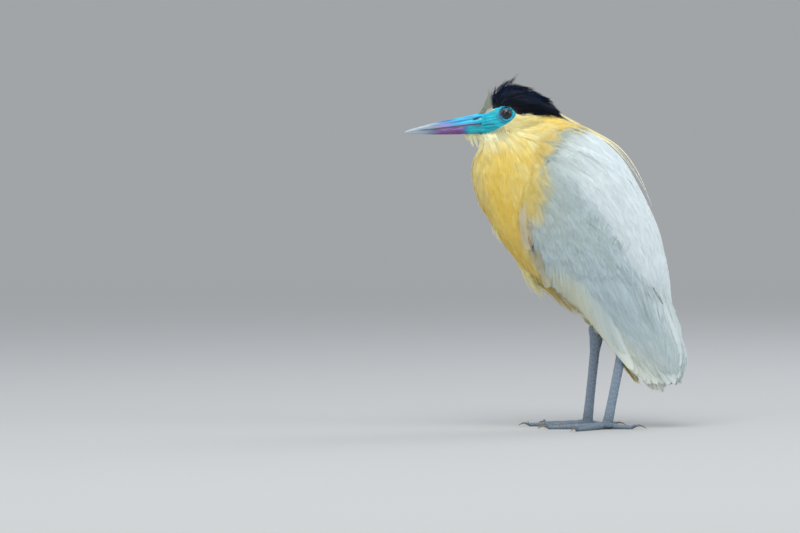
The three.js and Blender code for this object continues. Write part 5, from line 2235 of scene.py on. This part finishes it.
@dataclass
class Wisps:
    """Loose strands: forehead tuft, chin, cap, breast, vent, and fine strokes on cheek and wing, some painted
    shade.
    """

    skin: Skin
    steps: int = 7
    pale: tuple[Fan, ...] = (
        Fan((-116, 314, -111, 315), (-112, 319, -108, 329), 70, 0.28, "tuft", 4.5, 0.6, -0.6),
        Fan((-112, 314.5, -104, 316.5), (-109, 327, -106, 336), 110, 0.30, "tuft", 4.0, 0.9, -0.8),
        Fan((-108, 316, -103.5, 318), (-106.9, 340.5, -106.5, 341), 40, 0.30, "tuft", 2.0, 1.0, -0.5, 0, 0.2),
        Fan((-130.5, 294, -127.5, 293.8), (-126, 286.6, -125.6, 286.6),
            36, 0.30, "chin", 2.0, 0.9, -0.6, 0, 0.25),
        Fan((-127, 294, -123, 293.8), (-121.8, 281.6, -121.4, 281.6),
            54, 0.32, "chin", 2.4, 0.9, -0.8, 0, 0.25),
        Fan((-122.5, 294, -118.5, 293.6), (-117, 280.8, -116.6, 280.8),
            60, 0.32, "chin", 2.6, 0.9, -0.8, 0, 0.25),
        Fan((-118.5, 294, -113.5, 293.4), (-113.4, 282.6, -112.6, 282.4),
            70, 0.34, "chin", 3.2, 0.8, -0.6, 0, 0.3),
        Fan((-114, 294, -105, 293), (-111, 284, -104, 283), 60, 0.34, "cream", 6.0, 0.3, -0.6),
        Fan((-116, 292.2, -100, 294), (-111, 284.5, -96, 286), 110, 0.30, "chin", out=0.9, bow=-0.6),
        Fan((-118.5, 246, -117, 238), (-116.5, 229, -112.5, 215), 18, 0.30, "cream", 5.0, 0.4, -0.6),
        Fan((-103, 212, -98, 204), (-101, 193, -92, 182), 22, 0.30, "cream", 9.0, 0.1, -0.6),
        Fan((-78, 172, -66, 158), (-64, 147, -54, 134), 60, 0.32, "pale", 12.0, 0.0, -1.0, 0, 2.2),
        Fan((-70, 160, -60, 150), (-60, 136, -48, 130), 50, 0.32, "cream", 10.0, 0.1, -1.2, 0, 2.0),
        Fan((-64, 154, -30, 128), (-50, 140, -14, 112), 130, 0.30, "belly", 17.0, 0.0, -0.4, 0, 2.0),
        Fan((-52, 150, -46, 146), (-45, 141, -40, 138.6), 26, 0.30, "orange", out=0.8),
        Fan((22, 76, 30, 68), (35, 55, 43, 44), 90, 0.36, "olive", 7.0, 0.3, -0.8),
        Fan((26, 72, 34, 64), (40, 52, 46, 43), 60, 0.36, "cream", 9.0, 0.2, -0.8),
    )
    strokes: tuple[Fan, ...] = (
        Fan((-104, 296.0, -91.5, 301.0), (-103.2, 294.0, -90, 297.8), 16, 0.20, "brown", out=1.5, jitter=0.4),
        Fan((-96, 297.6, -86, 297.2), (-95, 295.6, -85.4, 295.8), 8, 0.19, "brown", out=1.9, jitter=0.8),
        # dark strands of painted shade in the gaps between the shoulder feathers' barbs
        Fan((-9, 222, 12, 207), (-13, 213, 7, 198), 13, 0.13, "stroke", out=2.7, jitter=1.2),
        Fan((15, 196, 34, 181), (11, 186, 29, 171), 13, 0.14, "stroke", out=2.7, jitter=1.2),
        Fan((-24, 273, -10, 261), (-30, 266, -17, 254), 9, 0.15, "stroke", out=3.0, jitter=1.2),
        Fan((-60.5, 171, -45, 171), (-57.5, 164.5, -44, 165.5), 30, 0.24, "lobe", out=2.4, jitter=0.5),
        # dark strands of painted shadow along the shoulder feathers' lower edge
        Fan((55, 143, 69, 124), (60, 135, 73, 116), 9, 0.20, "shade", out=2.9, jitter=0.7),
    )
    cap: tuple[Fan, ...] = (
        # the lighter blue strands carry painted sheen
        Fan((-104, 320, -100, 330), (-102.5, 335, -98.6, 344), 26, 0.20, "cap_sheen", 5.0, 0.5, 1.0),
        Fan((-102, 326, -94, 336), (-95, 342, -86, 348), 40, 0.20, "cap_sheen", 6.0, 0.3, 1.4),
        Fan((-97, 332, -86, 340), (-88, 346, -77, 351), 44, 0.20, "cap_sheen", 7.0, 0.2, 1.6),
        Fan((-90, 338, -74, 339), (-80, 344.6, -58, 337), 80, 0.24, "cap", 9.0, 0.1, 1.0),
        Fan((-74, 336, -58, 330), (-58, 336, -42, 325), 110, 0.26, "cap_sheen", 10.0, 0.1, 1.0),
        Fan((-60, 329, -46, 318), (-46, 330, -37, 317.5), 90, 0.28, "cap", 10.0, 0.3, 0.8),
        Fan((-54, 322, -44, 315), (-40, 320, -33, 314), 60, 0.26, "cap", 9.0, 0.3, 0.6),
    )

    def build(self) -> None:
        """Lays all the strands."""
        random = np.random.default_rng(SEED + 5)
        pale = PlumageFinish("wisp_finish", unevenness=0.1).material()
        black = PlumageFinish("cap_wisp_finish", roughness=0.5, sheen=0.0, unevenness=0.1, gloss=0.12)
        for name, fans, finish, slot in (("wisps_pale", self.pale + self.strokes, pale, "buff_feather"),
                                         ("wisps_cap", self.cap, black.material(), "black_feather")):
            feathers = Feathers()
            for fan in fans:
                for side in SIDES.values() if fan.out else (1,):
                    self._lay(fan, side, feathers, random)
            feathers.dress(name, finish)

    def _lay(self, fan: Fan, side: int, feathers: Feathers, random: Random) -> None:
        """Adds one fan.

        Args:
            fan: the fan.
            side: its side of the bird, 1 for left.
            feathers: what it is added to.
            random: where its unevenness comes from.
        """
        n = fan.count
        share = (np.arange(n) + random.uniform(0, 1, n))[:, None] / n
        ends = (fan.roots, fan.tips)
        root, tip = (np.array(end[:2]) * (1 - share) + np.array(end[2:]) * share for end in ends)
        shift = random.normal(0, fan.jitter, (n, 2))
        root, tip = root + shift, tip + shift + random.normal(0, 0.4 * fan.jitter, (n, 2))
        t = np.linspace(0, 1, self.steps)[None, :, None]
        way = unit(tip - root)
        square = np.stack([-way[:, 1], way[:, 0]], 1)[:, None]
        bow = fan.bow * random.uniform(0.4, 1.6, (n, 1, 1))
        flat = root[:, None] + (tip - root)[:, None] * t + square * bow * 4 * t * (1 - t)
        if fan.out:
            lines = np.array([self.skin.over(one, side) + [side * fan.out, 0, 0] for one in flat])
        else:
            across = fan.spread * random.uniform(-1, 1, (n, 1, 1)) * (1 - fan.gather * t)
            lines = np.concatenate([across, flat], -1)
        normals = np.broadcast_to([float(side), 0, 0], lines.shape)
        tint = row(fan.tint) * random.uniform(0.85, 1.15, (n, 1))
        plan = Plan(fan.half * random.uniform(0.7, 1.3, n), np.zeros(n), np.zeros(n), np.zeros(n))
        feathers.lay([strand()], Paths(lines, normals), plan, np.stack([tint, tint * 1.1], 1))


@dataclass
class NapePlumes:
    """The long white plumes that lie down the back."""

    drops: tuple[float, ...] = (-2.6, 0.6, -1.2)
    sink: float = 3.2
    steps: int = 40

    def build(self) -> None:
        """Makes each plume over its solid's line, some a little lower so that a gap shows between them."""
        random = np.random.default_rng(SEED + 9)
        finish = PlumageFinish("plume_finish").material()
        share = np.linspace(0, 1, self.steps)
        for i, drop in enumerate(self.drops):
            node = f"nape_plume_{i + 1}"
            solid = Surface.of(node)
            low, high = solid.points[:, 2].min() + 0.4, solid.points[:, 2].max() - 0.4
            line = smoothed(solid.core(np.linspace(high, low, self.steps)), 4)
            ups = unit(np.cross(unit(np.gradient(line, axis=0)), np.array([-1.0, 0, 0])))
            line[:, 0] += 1.2 * np.sin(2 * i + 4.0 * share)
            line = line + ups * (drop * np.sin(math.pi * share) - self.sink * ease(share, 0.45, 0.1))[:, None]
            vane = Vane(5, self.steps, widest=0.12, point=0.35, fray=0.0, cup=0.5, fringe=40)
            tint = np.array([[row("pale"), row("plume_tip")]])
            feathers = Feathers()
            for pattern, half in ((vane.pattern(random), 1.7), (strand(self.steps), 0.62)):
                plan = Plan(np.array([half]), np.zeros(1), np.zeros(1), np.zeros(1))
                feathers.lay([pattern], Paths(line[None], ups[None]), plan, tint)
            piece = feathers.dress(f"{node}_feather", finish)[0]
            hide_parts(node)


# ---- Stage ---------------------------------------------------------------------------------------


@dataclass
class Studio:
    """A plain pale floor, soft lights and the camera."""

    lens: float = 225.0
    distance: float = 5.0
    azimuth: float = 90.0
    elevation: float = 2.0
    span: float = 40.0
    aim: tuple[float, float, float] = (0.0, -195.0, 161.5)
    horizon: Colour = (0.36, 0.375, 0.385)
    zenith: Colour = (0.62, 0.68, 0.74)

    def build(self) -> None:
        """Makes the stage: a large light overhead, a weaker one in front and two from behind."""
        self._floor()
        self._world()
        self._light("overhead", (1.3, -0.2, 2.6), 2.0, 47, (1.0, 0.98, 0.95))
        self._light("front", (2.4, -1.8, 1.0), 1.6, 13, (1.0, 0.97, 0.93))
        self._light("rim", (-1.4, 1.6, 1.8), 1.2, 15, (0.95, 0.98, 1.0))
        self._light("behind", (1.0, 2.6, 1.3), 1.6, 16, (0.97, 0.99, 1.0))
        self._camera()

    @staticmethod
    def _placed(name: str, data: bpy.types.ID, place: Vector, target: Vector) -> Piece:
        """Puts an object at a place, turned towards a target."""
        made = bpy.data.objects.new(name, data)
        made.location = place
        made.rotation_euler = (target - made.location).to_track_quat("-Z", "Y").to_euler()
        bpy.context.scene.collection.objects.link(made)
        return made

    def _floor(self) -> None:
        """A wide floor."""
        mesh = bpy.data.meshes.new("floor")
        corners = [(x * self.span, y * self.span, 0) for x, y in ((-1, -1), (1, -1), (1, 1), (-1, 1))]
        mesh.from_pydata(corners, [], [(0, 1, 2, 3)])
        mesh.materials.append(StageFinish(self.horizon).material())
        floor = bpy.data.objects.new("floor", mesh)
        bpy.context.scene.collection.objects.link(floor)

    def _world(self) -> None:
        """An even pale surround, brighter overhead."""
        world = bpy.data.worlds.new("surround")
        tree = Tree(world)
        split = tree.add("SeparateXYZ", {0: tree.add("TexCoord").outputs["Generated"]})
        ramp = tree.add("ValToRGB", {"Fac": split.outputs["Z"]})
        for stop, place, tone in zip(ramp.color_ramp.elements, (0.10, 0.80), (self.horizon, self.zenith)):
            stop.position = place
            stop.color = (*tone, 1)
        tree.feed(tree.nodes["Background"], {"Color": ramp.outputs["Color"]})
        bpy.context.scene.world = world
        bpy.context.scene.view_settings.view_transform = "Standard"

    def _light(self, name: str, place: tuple[float, ...], size: float, power: float, tone: Colour) -> None:
        """Adds a soft area light that faces the bird."""
        data = bpy.data.lights.new(name, "AREA")
        data.size = size
        data.energy = power
        data.color = tone
        self._placed(name, data, Vector(place), Vector((0, 0, 0.2)))

    def _camera(self) -> None:
        """The camera, at the bird's left side."""
        data = bpy.data.cameras.new("camera")
        data.lens = self.lens
        data.clip_end = 200
        target = Vector(AXES.write(np.array(self.aim)).tolist())
        turn, lift = math.radians(self.azimuth), math.radians(self.elevation)
        way = Vector((math.sin(turn) * math.cos(lift), -math.cos(turn) * math.cos(lift), math.sin(lift)))
        bpy.context.scene.camera = self._placed("camera", data, target + way * self.distance, target)


def main() -> None:
    """Builds the bird and its stage."""
    logging.basicConfig(level=logging.INFO, format="%(message)s")
    Studio().build()
    skin = Skin()
    skin.build()
    Bill().build()
    claw_finish = HornFinish("claw_finish", roughness=0.4).material()
    for name in SIDES:
        Eye(name).build()
    for leg in map(Leg, SIDES):
        for toe in leg.toes:
            Claw(leg, toe).build(claw_finish)
    NapePlumes().build()
    coat = Coat(skin)
    for tract in tracts():
        coat.grow(tract)
    Wisps(skin).build()
    for name in SIDES:
        Wing(name, skin).build()
    Rear().build()


if __name__ == "__main__":
    main()
